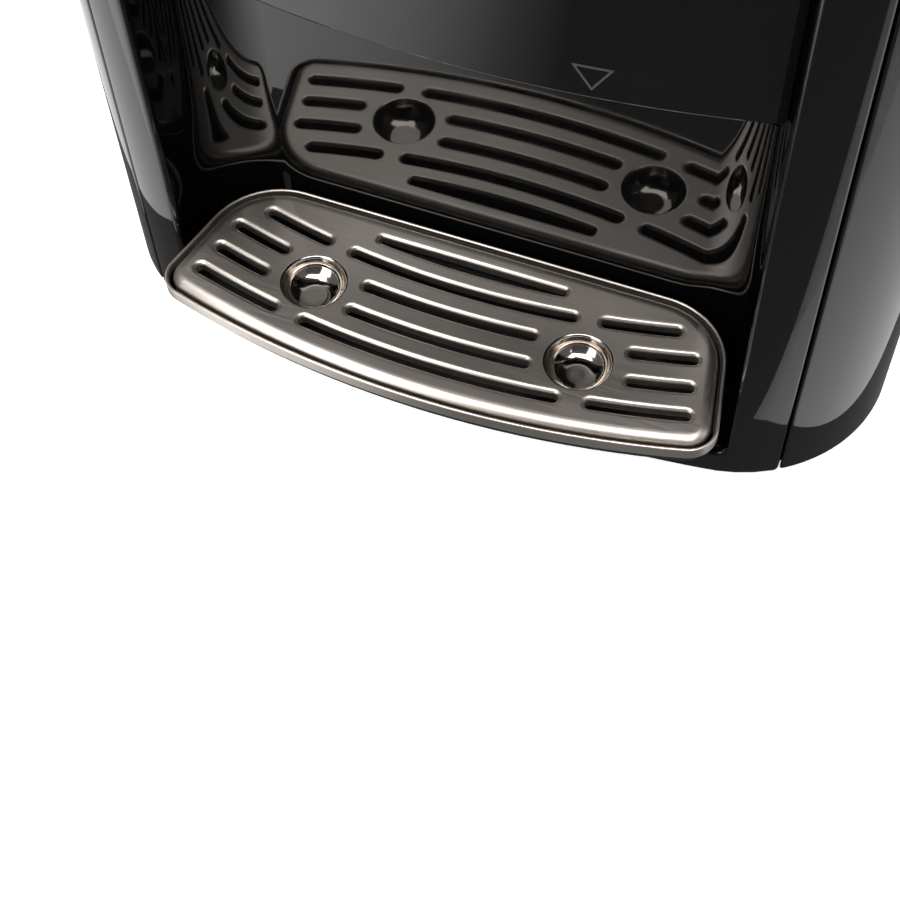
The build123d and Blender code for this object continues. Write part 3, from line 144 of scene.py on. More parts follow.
# ------------------------------------------------------------------ mesh building
class Skin:
    """Collects grids and flat faces, then makes one closed, smooth object of them."""

    def __init__(self) -> None:
        """Starts empty."""
        self.points: list[Array] = []
        self.faces: list[tuple[int, ...]] = []
        self.slots: list[int] = []
        self.count = 0

    def _take(self, points: Array) -> int:
        """Stores points.

        Args:
            points: Array of 3-D points, of any shape.

        Returns:
            The index of the first of them.
        """
        flat = points.reshape(-1, 3)
        first = self.count
        self.points.append(flat)
        self.count += len(flat)
        return first

    def grid(self, points: Array, wrap_u: bool = False, wrap_v: bool = False, slot: int = 0) -> None:
        """Adds a surface whose point (i, j) is joined to its neighbours in four-sided faces.

        Args:
            points: Array of shape (u, v, 3).
            wrap_u: Joins the last row to the first.
            wrap_v: Joins the last column to the first.
            slot: Material slot of the faces.
        """
        rows, columns = points.shape[:2]
        index = self._take(points) + np.arange(rows * columns).reshape(rows, columns)
        if wrap_u:
            index = np.concatenate([index, index[:1]], axis=0)
        if wrap_v:
            index = np.concatenate([index, index[:, :1]], axis=1)
        quads = np.stack([index[:-1, :-1], index[:-1, 1:], index[1:, 1:], index[1:, :-1]], axis=-1)
        self._faces(quads.reshape(-1, 4), slot)

    def cap(self, rings: Sequence[Array], flip: bool = False) -> None:
        """Adds a flat region bounded by the first ring, with the other rings as its holes.

        Args:
            rings: Closed rings of 3-D points; the first is the outer one.
            flip: Turns the faces over.
        """
        first = self._take(np.concatenate(rings))
        if len(rings) == 1:
            faces = np.arange(len(rings[0]))[None] + first
        else:
            faces = np.array(tessellate_polygon([[Vector(p) for p in ring] for ring in rings])) + first
        self._faces(faces[:, ::-1] if flip else faces)

    def _faces(self, faces: Array, slot: int = 0) -> None:
        """Stores faces and their material slot."""
        self.faces.extend(tuple(int(i) for i in face) for face in faces)
        self.slots.extend([slot] * len(faces))

    def build(self, name: str, wall: float = 0.0, sharp: float = 40.0) -> bpy.types.Object:
        """Makes the object, welds its seams, points its faces outwards and gives it a wall.

        Args:
            name: Name of the object.
            wall: Thickness grown inwards, or 0 for a skin that is already closed.
            sharp: Edges that turn by more than this many degrees stay crisp.

        Returns:
            The object, at the origin, with its place in its mesh.
        """
        mesh = bpy.data.meshes.new(name)
        mesh.from_pydata((np.concatenate(self.points) * MM).tolist(), [], self.faces)
        mesh.polygons.foreach_set("material_index", np.array(self.slots, np.int32))
        obj = bpy.data.objects.new(name, mesh)
        bpy.context.scene.collection.objects.link(obj)
        weld(mesh)
        mesh.shade_smooth()
        mesh.set_sharp_from_angle(angle=math.radians(sharp))
        if wall:
            solid = obj.modifiers.new("wall", "SOLIDIFY")
            solid.thickness = wall * MM
            solid.offset = -1.0
            solid.use_even_offset = True
        flat = obj.modifiers.new("flat_faces", "WEIGHTED_NORMAL")
        flat.keep_sharp = True
        return obj


def weld(mesh: bpy.types.Mesh) -> None:
    """Welds doubled points, drops slivers and recalculates the normals.

    Args:
        mesh: The mesh, changed in place.
    """
    work = bmesh.new()
    work.from_mesh(mesh)
    bmesh.ops.remove_doubles(work, verts=work.verts, dist=WELD * MM)
    bmesh.ops.dissolve_degenerate(work, edges=work.edges, dist=SLIVER * MM)
    bmesh.ops.recalc_face_normals(work, faces=work.faces)
    work.to_mesh(mesh)
    work.free()


class Lay(Enum):
    """Which way a flat outline is stood up when it is drawn out."""

    UP = "z"
    BACK = "y"

    def place(self, outline: Array, height: float | Array) -> Array:
        """Turns outline points (a, b) and a height into 3-D points.

        Args:
            outline: Array of (a, b) points.
            height: Height along the third axis.

        Returns:
            Array of 3-D points.
        """
        a, b = outline[..., 0], outline[..., 1]
        h = np.broadcast_to(height, a.shape)
        return np.stack((a, b, h) if self is Lay.UP else (a, h, b), axis=-1)


def prism(skin: Skin, outline: Array, low: float, high: float, edge_low: float, edge_high: float,
          lay: Lay = Lay.UP) -> None:
    """Draws an outline out from low to high, with its rim rounded at both ends.

    Near an end the outline is drawn in by r * (1 - sin a) at a height of r * (1 - cos a) from the end,
    for a from 0 to 90 degrees, which is a quarter-round edge of radius r.

    Args:
        skin: Where the faces go.
        outline: Closed outline, counter-clockwise.
        low: Height of the lower end.
        high: Height of the upper end.
        edge_low: Radius of the lower edge.
        edge_high: Radius of the upper edge.
        lay: How the outline is stood up.
    """
    in_low, up_low = quarter(edge_low)
    in_high, up_high = quarter(edge_high)
    insets = np.concatenate([in_low, in_high[::-1]])
    heights = np.concatenate([low + up_low, high - up_high[::-1]])
    rings = np.stack([lay.place(grow(outline, -i), h) for i, h in zip(insets, heights)])
    skin.grid(rings, wrap_v=True)
    skin.cap([rings[0]], flip=True)
    skin.cap([rings[-1]])


# ------------------------------------------------------------------ finishes
def linear(colour: str) -> tuple[float, float, float, float]:
    """Turns an sRGB hex colour into linear RGBA.

    A channel under 0.04045 is divided by 12.92; above it, it is ((c + 0.055) / 1.055) to the power 2.4.

    Args:
        colour: Colour as #rrggbb.

    Returns:
        Red, green and blue from 0 to 1, and an alpha of 1.
    """
    channels = [int(colour[i:i + 2], 16) / 255 for i in (1, 3, 5)]
    return (*(c / 12.92 if c <= 0.04045 else ((c + 0.055) / 1.055) ** 2.4 for c in channels), 1.0)


def add_node(tree: bpy.types.NodeTree, kind: str, settings: dict | None = None,
             inputs: dict | None = None) -> bpy.types.Node:
    """Adds a node, sets its properties, and fills its inputs with values or links.

    Args:
        tree: Node tree that gets the node.
        kind: Type of the node.
        settings: Properties by name.
        inputs: Sockets by name or number; an output socket is linked, and anything else is a value.

    Returns:
        The new node.
    """
    node = tree.nodes.new(kind)
    for key, value in (settings or {}).items():
        setattr(node, key, value)
    for key, value in (inputs or {}).items():
        if isinstance(value, bpy.types.NodeSocket):
            tree.links.new(value, node.inputs[key])
        else:
            node.inputs[key].default_value = value
    return node


def open_material(name: str) -> tuple[bpy.types.Material, bpy.types.NodeTree, bpy.types.NodeSocket]:
    """Makes an empty node material and its Object coordinates.

    Args:
        name: Name of the material.

    Returns:
        The material, its node tree and the socket with Object coordinates.
    """
    made = bpy.data.materials.new(name)
    made.use_nodes = True
    made.node_tree.nodes.clear()
    place = add_node(made.node_tree, "ShaderNodeTexCoord")
    return made, made.node_tree, place.outputs["Object"]


def close_material(tree: bpy.types.NodeTree, inputs: dict) -> None:
    """Adds the surface shader with its inputs and links it to the output."""
    shader = add_node(tree, "ShaderNodeBsdfPrincipled", inputs=inputs)
    add_node(tree, "ShaderNodeOutputMaterial", inputs={"Surface": shader.outputs["BSDF"]})


@dataclass(frozen=True)
class Moulded:
    """Injection-moulded plastic, rubber or enamel: one colour that drifts a little, and a fine skin.

    The colour drifts between two tones over drift mm, the gloss changes over smear mm as a wiped
    surface does, and the skin is a noise of grain mm and depth mm, like a spark-eroded mould.
    """

    name: str
    colour: str
    second: str
    roughness: float
    spread: float = 0.03
    grain: float = 2.0
    depth: float = 0.004
    drift: float = 60.0
    smear: float = 14.0
    ior: float = 1.52
    clear: float = 0.0

    def make(self) -> bpy.types.Material:
        """Builds the material.

        Returns:
            The material, with all its nodes.
        """
        made, tree, place = open_material(self.name)
        tone = add_node(tree, "ShaderNodeTexNoise", inputs={
            "Vector": place, "Scale": 1 / (self.drift * MM)})
        colour = add_node(tree, "ShaderNodeMix", {"data_type": "RGBA"}, {
            0: tone.outputs["Fac"], 6: linear(self.colour), 7: linear(self.second)})
        wipe = add_node(tree, "ShaderNodeTexNoise", inputs={
            "Vector": place, "Scale": 1 / (self.smear * MM), "Detail": 4.0})
        gloss = add_node(tree, "ShaderNodeMapRange", inputs={
            "Value": wipe.outputs["Fac"], "From Min": 0.3, "From Max": 0.7,
            "To Min": max(self.roughness - self.spread, 0.0), "To Max": self.roughness + self.spread})
        skin = add_node(tree, "ShaderNodeTexNoise", inputs={
            "Vector": place, "Scale": 1 / (self.grain * MM), "Detail": 2.0})
        bump = add_node(tree, "ShaderNodeBump", inputs={
            "Height": skin.outputs["Fac"], "Distance": self.depth * MM, "Strength": 1.0})
        close_material(tree, {
            "Base Color": colour.outputs[2], "Roughness": gloss.outputs["Result"], "IOR": self.ior,
            "Transmission Weight": self.clear, "Normal": bump.outputs["Normal"]})
        return made


@dataclass(frozen=True)
class Metal:
    """Rolled, brushed or polished metal: long fine streaks along X in colour, gloss and height."""

    name: str
    colour: str
    second: str
    roughness: float
    spread: float = 0.05
    streak: float = 0.5
    length: float = 40.0
    depth: float = 0.002
    drift: float = 50.0

    def make(self) -> bpy.types.Material:
        """Builds the material.

        Returns:
            The material, with all its nodes.
        """
        made, tree, place = open_material(self.name)
        across = 1 / (self.streak * MM)
        lay = add_node(tree, "ShaderNodeMapping", inputs={
            "Vector": place, "Scale": (1 / (self.length * MM), across, across)})
        hair = add_node(tree, "ShaderNodeTexNoise", inputs={
            "Vector": lay.outputs["Vector"], "Scale": 1.0, "Detail": 3.0, "Roughness": 0.6})
        cloud = add_node(tree, "ShaderNodeTexNoise", inputs={
            "Vector": place, "Scale": 1 / (self.drift * MM), "Detail": 3.0})
        mixed = add_node(tree, "ShaderNodeMath", {"operation": "MULTIPLY_ADD"}, {
            0: hair.outputs["Fac"], 1: 0.6, 2: cloud.outputs["Fac"]})
        share = add_node(tree, "ShaderNodeMapRange", inputs={
            "Value": mixed.outputs["Value"], "From Min": 0.5, "From Max": 1.1})
        colour = add_node(tree, "ShaderNodeMix", {"data_type": "RGBA"}, {
            0: share.outputs["Result"], 6: linear(self.colour), 7: linear(self.second)})
        gloss = add_node(tree, "ShaderNodeMapRange", inputs={
            "Value": hair.outputs["Fac"], "From Min": 0.3, "From Max": 0.7,
            "To Min": max(self.roughness - self.spread, 0.0), "To Max": self.roughness + self.spread})
        bump = add_node(tree, "ShaderNodeBump", inputs={
            "Height": hair.outputs["Fac"], "Distance": self.depth * MM, "Strength": 1.0})
        close_material(tree, {
            "Base Color": colour.outputs[2], "Metallic": 1.0, "Roughness": gloss.outputs["Result"],
            "Normal": bump.outputs["Normal"]})
        return made


@dataclass(frozen=True)
class Celled:
    """A surface of small cells, each with its own tone and gloss, such as the beads of a foam."""

    name: str
    colour: str
    second: str
    roughness: float
    cell: float
    depth: float = 0.02
    spread: float = 0.08

    def make(self) -> bpy.types.Material:
        """Builds the material.

        Returns:
            The material, with all its nodes.
        """
        made, tree, place = open_material(self.name)
        cells = add_node(tree, "ShaderNodeTexVoronoi", inputs={
            "Vector": place, "Scale": 1 / (self.cell * MM)})
        split = add_node(tree, "ShaderNodeSeparateColor", inputs={"Color": cells.outputs["Color"]})
        colour = add_node(tree, "ShaderNodeMix", {"data_type": "RGBA"}, {
            0: split.outputs["Red"], 6: linear(self.colour), 7: linear(self.second)})
        gloss = add_node(tree, "ShaderNodeMapRange", inputs={
            "Value": split.outputs["Green"],
            "To Min": self.roughness - self.spread, "To Max": self.roughness + self.spread})
        bump = add_node(tree, "ShaderNodeBump", {"invert": True}, {
            "Height": cells.outputs["Distance"], "Distance": self.depth * MM, "Strength": 1.0})
        close_material(tree, {
            "Base Color": colour.outputs[2], "Roughness": gloss.outputs["Result"],
            "Normal": bump.outputs["Normal"]})
        return made


@dataclass(frozen=True)
class Board:
    """Circuit board: green lacquer, lighter over the copper tracks and darker over bare glass cloth."""

    name: str
    track: str
    ground: str
    pitch: float
    line: float = 0.08
    depth: float = 0.05

    def make(self) -> bpy.types.Material:
        """Builds the material.

        Returns:
            The material, with all its nodes.
        """
        made, tree, place = open_material(self.name)
        tracks = add_node(tree, "ShaderNodeTexBrick", inputs={
            "Vector": place, "Scale": 1 / (self.pitch * MM), "Color1": linear(self.track),
            "Color2": linear(self.track), "Mortar": linear(self.ground), "Mortar Size": self.line})
        bump = add_node(tree, "ShaderNodeBump", {"invert": True}, {
            "Height": tracks.outputs["Fac"], "Distance": self.depth * MM, "Strength": 1.0})
        close_material(tree, {
            "Base Color": tracks.outputs["Color"], "Roughness": 0.32, "IOR": 1.5,
            "Normal": bump.outputs["Normal"]})
        return made


class Look(Enum):
    """The finish of each kind of surface on the dispenser."""

    # High-gloss black ABS: a deep black with sharp reflections and a trace of wipe marks.
    GLOSS = Moulded("glossy_black_abs", "#030303", "#060606", 0.035, 0.015, 3.0, 0.0006)
    # Polycarbonate behind the controls: the same black with a satin hard coat.
    PANEL = Moulded("hard_coated_polycarbonate", "#040404", "#070708", 0.12, 0.03, 2.0, 0.001, ior=1.58)
    # Spark-eroded black ABS: a fine even grain that breaks up the shine.
    MATT = Moulded("textured_black_abs", "#101011", "#17171a", 0.52, 0.06, 0.8, 0.03)
    # EPDM rubber: soft dull black.
    RUBBER = Moulded("black_epdm_rubber", "#141414", "#1b1b1a", 0.78, 0.05, 1.2, 0.04, ior=1.48)
    # Stainless steel 304, brushed across: warm grey with hair-fine lines.
    STEEL = Metal("brushed_stainless_steel", "#ded6ce", "#bfb6ad", 0.36, 0.06, 0.45, 40.0, 0.0012)
    # The pressed dimples of the same sheet, where the drawing has smoothed the brushing away.
    DRAWN = Metal("deep_drawn_stainless_steel", "#cfc8c1", "#bbb3ab", 0.11, 0.03, 2.0, 6.0, 0.0004)
    # Steel sheet under a satin black powder coat, with a faint orange peel.
    POWDER = Moulded("satin_black_powder_coat", "#131314", "#19191a", 0.42, 0.05, 1.4, 0.03)
    # Expanded polystyrene: white beads pressed together.
    FOAM = Celled("expanded_polystyrene", "#e9e8e2", "#dddbd2", 0.82, 3.2, 0.5)
    # Copper tube, drawn and slightly tarnished.
    COPPER = Metal("drawn_copper", "#b87350", "#8f5238", 0.3, 0.08, 0.8, 20.0, 0.003)
    # Compressor shell: thick black enamel.
    ENAMEL = Moulded("black_machine_enamel", "#0c0c0d", "#151517", 0.3, 0.08, 4.0, 0.04)
    # Laminated core with its varnish.
    CORE = Metal("varnished_core_steel", "#4d4f52", "#3b3c3f", 0.5, 0.1, 0.5, 60.0, 0.05)
    # Glass-filled nylon of the valves.
    NYLON = Moulded("white_nylon", "#dedcd4", "#d0cdc3", 0.42, 0.05, 1.0, 0.01)
    # Food-grade silicone tube: milky and half clear.
    SILICONE = Moulded("milky_silicone", "#dfe2e0", "#cfd4d2", 0.38, 0.06, 2.0, 0.01,
                       ior=1.41, clear=0.35)
    # Pad-printed grey ink.
    INK = Moulded("grey_printed_ink", "#2f2f2f", "#383838", 0.4, 0.05, 0.6, 0.003)
    # Keys: satin ABS in three colours.
    KEY_RED = Moulded("red_satin_abs", "#8e1b1a", "#7c1514", 0.3, 0.04, 0.9, 0.006)
    KEY_BLUE = Moulded("blue_satin_abs", "#1d4f92", "#174581", 0.3, 0.04, 0.9, 0.006)
    KEY_GREY = Moulded("grey_satin_abs", "#8b8d8f", "#7e8083", 0.3, 0.04, 0.9, 0.006)
    # Light pipes: frosted acrylic.
    LENS = Moulded("frosted_acrylic", "#e8ecec", "#dde3e3", 0.35, 0.04, 1.0, 0.01, ior=1.49, clear=0.5)
    # Lacquered circuit board.
    BOARD = Board("lacquered_circuit_board", "#1f5b36", "#16452a", 5.0)

    @property
    def material(self) -> bpy.types.Material:
        """The material, built the first time it is asked for."""
        return bpy.data.materials.get(self.value.name) or self.value.make()


# CAD nodes that keep their own shape, by the look that they get.
CAD_LOOKS: dict[Look, tuple[str, ...]] = {
    Look.MATT: ("base_plate", "fan_frame", "fan_rotor", "power_inlet", "switch_housings", "hot_nozzle",
                "cold_nozzle"),
    Look.RUBBER: ("rubber_feet", "compressor_grommets"),
    Look.POWDER: ("rear_panel", "valve_bracket", "rear_screws"),
    Look.STEEL: ("hot_tank", "cold_tank"),
    Look.FOAM: ("hot_tank_jacket", "cold_tank_jacket"),
    Look.COPPER: ("evaporator_coil", "suction_line"),
    Look.ENAMEL: ("compressor", "condenser"),
    Look.CORE: ("transformer", "heater_element"),
    Look.BOARD: ("control_board", "power_board"),
    Look.NYLON: ("hot_valve", "cold_valve", "water_inlet", "drain_pipes"),
    Look.SILICONE: ("hot_tube", "cold_tube", "supply_tube", "feed_tube", "hot_drain_tube",
                    "cold_drain_tube"),
    Look.INK: ("outlet_mark",),
    Look.LENS: ("status_lights",),
    Look.KEY_RED: ("hot_switch", "hot_drain_cap"),
    Look.KEY_BLUE: ("cold_switch", "cold_drain_cap"),
}


def finish_piece(piece: bpy.types.Object, looks: Sequence[Look], body: str,
                 node: str) -> None:
    """Dresses a new piece, hangs it on its body and says which CAD node it stands for.

    Args:
        piece: The piece.
        looks: One look for each material slot.
        body: CAD body that the piece moves with.
        node: CAD node that it stands for.
    """
    for look in looks:
        piece.data.materials.append(look.material)
    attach(piece, body)
    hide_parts(node)
    log.info("%s: %d faces on %s", piece.name, len(piece.data.polygons), body)


def low_high(node: str) -> tuple[Array, Array]:
    """Lowest and highest corner of a CAD node, in millimetres."""
    low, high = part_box(node)
    return np.array(low) / MM, np.array(high) / MM


def crossing(first: Sequence[float], first_r: float, second: Sequence[float], second_r: float) -> Array:
    """Where two circles cross, on the side with the larger second coordinate.

    With d between the centres, the foot of the chord is (r1^2 - r2^2 + d^2) / (2 d) from the first
    centre, and the crossing is off the line of centres by the rest of r1 by Pythagoras.

    Args:
        first: Centre of the first circle.
        first_r: Radius of the first circle.
        second: Centre of the second circle.
        second_r: Radius of the second circle.

    Returns:
        The crossing.
    """
    span = np.subtract(second, first)
    d = np.linalg.norm(span)
    along = (first_r**2 - second_r**2 + d**2) / (2 * d)
    off = math.sqrt(first_r**2 - along**2)
    foot = np.asarray(first) + span * along / d
    side = np.array([-span[1], span[0]]) / d * off
    return max(foot + side, foot - side, key=lambda point: point[1])


def chain(*pieces: Array) -> Array:
    """Joins stretches of an outline and drops points that repeat the one before them.

    Args:
        *pieces: Stretches, or single points, in order.

    Returns:
        The closed outline.
    """
    joined = np.concatenate([np.atleast_2d(piece) for piece in pieces])
    keep = np.linalg.norm(joined - np.roll(joined, 1, axis=0), axis=1) > 1e-6
    return joined[keep]


# ------------------------------------------------------------------ casing
@dataclass
class Casing:
    """Glossy black shells round the machine: front frame, side panels and domed top."""

    arc_r: float = 720.0
    corner_r: float = 58.0
    rear_r: float = 12.0
    wall: float = 3.0
    seam_gap: float = 0.4
    opening_half: float = 105.0
    opening_low: float = 14.0
    opening_r: float = 5.0
    head_gap: float = 0.5
    back_frame: float = 24.0
    flange_w: float = 8.0
    flange_t: float = 2.0
    flange_end: float = 1.0
    flange_edge: float = 0.2
    lip_r: float = 2.4
    edge_r: float = 0.8
    dome_r: float = 8.0
    arc_steps: int = 40
    corner_steps: int = 24
    rear_steps: int = 8
    face_steps: int = 10
    seam_x: float = field(init=False)
    half_w: float = field(init=False)
    front_y: float = field(init=False)
    back_y: float = field(init=False)
    low_z: float = field(init=False)
    high_z: float = field(init=False)
    top_z: float = field(init=False)
    arc_y: float = field(init=False)
    corner_x: float = field(init=False)
    corner_y: float = field(init=False)
    meet: float = field(init=False)
    meet_x: float = field(init=False)

    def __post_init__(self) -> None:
        """Reads the casing's place from the frame and works out where its arcs meet.

        The front frame ends one flange past the seam. meet is the angle, seen from the middle of the
        wide arc, at which that arc runs into a corner's, and meet_x is how far out that is.
        """
        low, high = low_high("top_cover")
        panel_low, panel_high = low_high("right_side_panel")
        self.seam_x = low_high("front_frame")[1][0] - self.flange_w
        self.half_w, self.front_y, self.back_y, self.top_z = high[0], low[1], high[1], high[2]
        self.low_z, self.high_z = panel_low[2], panel_high[2]
        self.arc_y = self.front_y + self.arc_r
        self.corner_x = self.half_w - self.corner_r
        self.corner_y = self.arc_y - math.sqrt((self.arc_r - self.corner_r) ** 2 - self.corner_x**2)
        self.meet = math.degrees(math.atan2(self.corner_y - self.arc_y, self.corner_x))
        self.meet_x = self.arc_r * math.cos(math.radians(self.meet))

    def plan(self, inset: float = 0.0) -> Array:
        """Closed outline from above: a wide arc in front, a tangent arc at each corner, straight sides.

        The centre of a front corner lies arc_r - corner_r from the centre of the wide arc, so that the
        two arcs share a tangent where they meet.

        Args:
            inset: How far inside the casing's own outline it runs.

        Returns:
            The outline, counter-clockwise.
        """
        steps, r, rear = self.corner_steps, self.corner_r - inset, self.rear_r - inset
        x, y = self.half_w - self.rear_r, self.back_y - self.rear_r
        return chain(
            arc((0, self.arc_y), self.arc_r - inset, -180 - self.meet, self.meet, self.arc_steps),
            arc((self.corner_x, self.corner_y), r, self.meet, 0, steps),
            arc((x, y), rear, 0, 90, self.rear_steps), arc((-x, y), rear, 90, 180, self.rear_steps),
            arc((-self.corner_x, self.corner_y), r, 180, 180 - self.meet, steps))

    def face(self, x: Array) -> tuple[Array, Array]:
        """Front surface: the nearer half of the wide arc, or past meet_x of the corner's arc.

        On a circle the depth is the centre's less the square root of radius^2 - x^2, and that root over
        the radius is the share of the normal that points forwards.

        Args:
            x: Distances from the middle.

        Returns:
            The depth of the surface, and the forward share of its normal, at each x.
        """
        reach = np.abs(x)
        middle = reach <= self.meet_x
        radius = np.where(middle, self.arc_r, self.corner_r)
        rise = np.sqrt(radius**2 - (reach - np.where(middle, 0, self.corner_x)) ** 2)
        return np.where(middle, self.arc_y, self.corner_y) - rise, rise / radius

    def frame(self) -> bpy.types.Object:
        """Front frame: a ring between the opening and the seams, with a flange behind each seam.

        Each point runs from the opening's outline to the outer outline. Its depth is the casing's front
        surface plus a quarter-round at both edges, and the back is one wall behind.

        Returns:
            The piece.
        """
        head_z = low_high("head_shell")[1][2] + self.head_gap
        inner = self._ring(self.opening_half, self.opening_low, head_z, self.opening_r)
        outer = self._ring(self.seam_x, self.low_z, self.high_z, self.edge_r)
        span = np.linalg.norm(outer - inner, axis=1)[:, None]
        lip_in, lip_down = quarter(self.lip_r)
        edge_in, edge_down = quarter(self.edge_r)
        near = np.concatenate([[0.0], lip_in[::-1]]) / span
        far = 1 - np.concatenate([edge_in, [0.0]]) / span
        steps = np.linspace(0, 1, self.face_steps + 2)[None, 1:-1]
        middle = near[:, -1:] + (far[:, :1] - near[:, -1:]) * steps
        share = np.concatenate([near, middle, far], axis=1)
        depth = np.concatenate([[self.wall], lip_down[::-1], np.zeros(self.face_steps), edge_down,
                                [self.wall]])
        flat = inner[:, None] + (outer - inner)[:, None] * share[..., None]
        y, forward = self.face(flat[..., 0])
        points = np.stack([flat[..., 0], y + depth / forward, flat[..., 1]], axis=-1)
        skin = Skin()
        skin.grid(points, wrap_u=True, wrap_v=True)
        self._flanges(skin)
        return skin.build("front_frame_shell", sharp=50)

    def _flanges(self, skin: Skin) -> None:
        """Adds a band behind each seam: the outline at two insets, drawn up between its two x.

        A corner's arc passes an x at the angle whose cosine is x less the corner's centre, over radius.

        Args:
            skin: Where the faces go.
        """
        stretches = []
        reach = self.seam_x - self.corner_x
        for radius in (self.corner_r - self.wall, self.corner_r - self.wall - self.flange_t):
            first, last = (-math.degrees(math.acos(x / radius))
                           for x in (reach - self.flange_w, reach + self.flange_w))
            stretches.append(arc((self.corner_x, self.corner_y), radius, first, last, 8))
        band = np.concatenate([stretches[0], stretches[1][::-1]])
        low, high = self.low_z + self.flange_end, self.high_z - self.flange_end
        for outline in (band, band[::-1] * (-1, 1)):
            prism(skin, outline, low, high, self.flange_edge, self.flange_edge)

    def _ring(self, half: float, low: float, high: float, radius: float) -> Array:
        """Rounded rectangle in the front view, with the same number of points whatever its size.

        Args:
            half: Half its width.
            low: Height of its lower side.
            high: Height of its upper side.
            radius: Radius of its corners.

        Returns:
            Its outline, counter-clockwise from the upper right corner.
        """
        across, up = np.linspace(0, 1, 41)[1:-1, None], np.linspace(0, 1, 9)[1:-1, None]
        x, b, t = half - radius, low + radius, high - radius
        corners = [arc(c, radius, a, a + 90, 5) for c, a in
                   (((x, t), 0), ((-x, t), 90), ((-x, b), 180), ((x, b), 270))]
        out = []
        for i, corner in enumerate(corners):
            following = corners[(i + 1) % 4][0]
            steps = across if i % 2 == 0 else up
            out += [corner, corner[-1] + (following - corner[-1]) * steps]
        return np.concatenate(out)

    def side(self, sign: int) -> bpy.types.Object:
        """Side panel: a band one wall thick round the corner, the side and the rear corner.

        Args:
            sign: 1 for the right panel, -1 for the left.

        Returns:
            The piece.
        """
        start = self.seam_x + self.seam_gap
        back_half = self.half_w - self.wall - self.back_frame
        x, y = self.half_w - self.rear_r, self.back_y - self.rear_r
        stretches = []
        for inset in (0.0, self.wall):
            r = self.corner_r - inset
            first = -math.degrees(math.acos((start - self.corner_x) / r))
            stretches.append(chain(
                arc((self.corner_x, self.corner_y), r, first, 0, self.corner_steps),
                arc((x, y), self.rear_r - inset, 0, 90, self.rear_steps),
                (back_half, self.back_y - inset)))
        band = soften(np.concatenate([stretches[0], stretches[1][::-1]]), self.edge_r, 4)
        if sign < 0:
            band = band[::-1] * (-1, 1)
        skin = Skin()
        prism(skin, band, self.low_z, self.high_z, self.edge_r, self.edge_r)
        return skin.build(("left" if sign < 0 else "right") + "_side_shell")

    def cover(self) -> bpy.types.Object:
        """Top cover: the casing's outline drawn up, with its upper edge rounded into a flat top.

        Returns:
            The piece.
        """
        down, in_top = quarter(self.edge_r), quarter(self.dome_r, 10)
        insets = np.concatenate([down[0], in_top[0][::-1]])
        heights = np.concatenate([self.high_z + down[1], self.top_z - in_top[1][::-1]])
        rings = np.stack([Lay.UP.place(self.plan(i), h) for i, h in zip(insets, heights)])
        skin = Skin()
        skin.grid(rings, wrap_v=True)
        skin.cap([rings[-1]])
        return skin.build("top_cover_shell", wall=self.wall)

    def build(self) -> None:
        """Builds and dresses the casing."""
        for piece, node in ((self.frame(), "front_frame"), (self.side(1), "right_side_panel"),
                            (self.side(-1), "left_side_panel"), (self.cover(), "top_cover")):
            finish_piece(piece, [Look.GLOSS], "body", node)


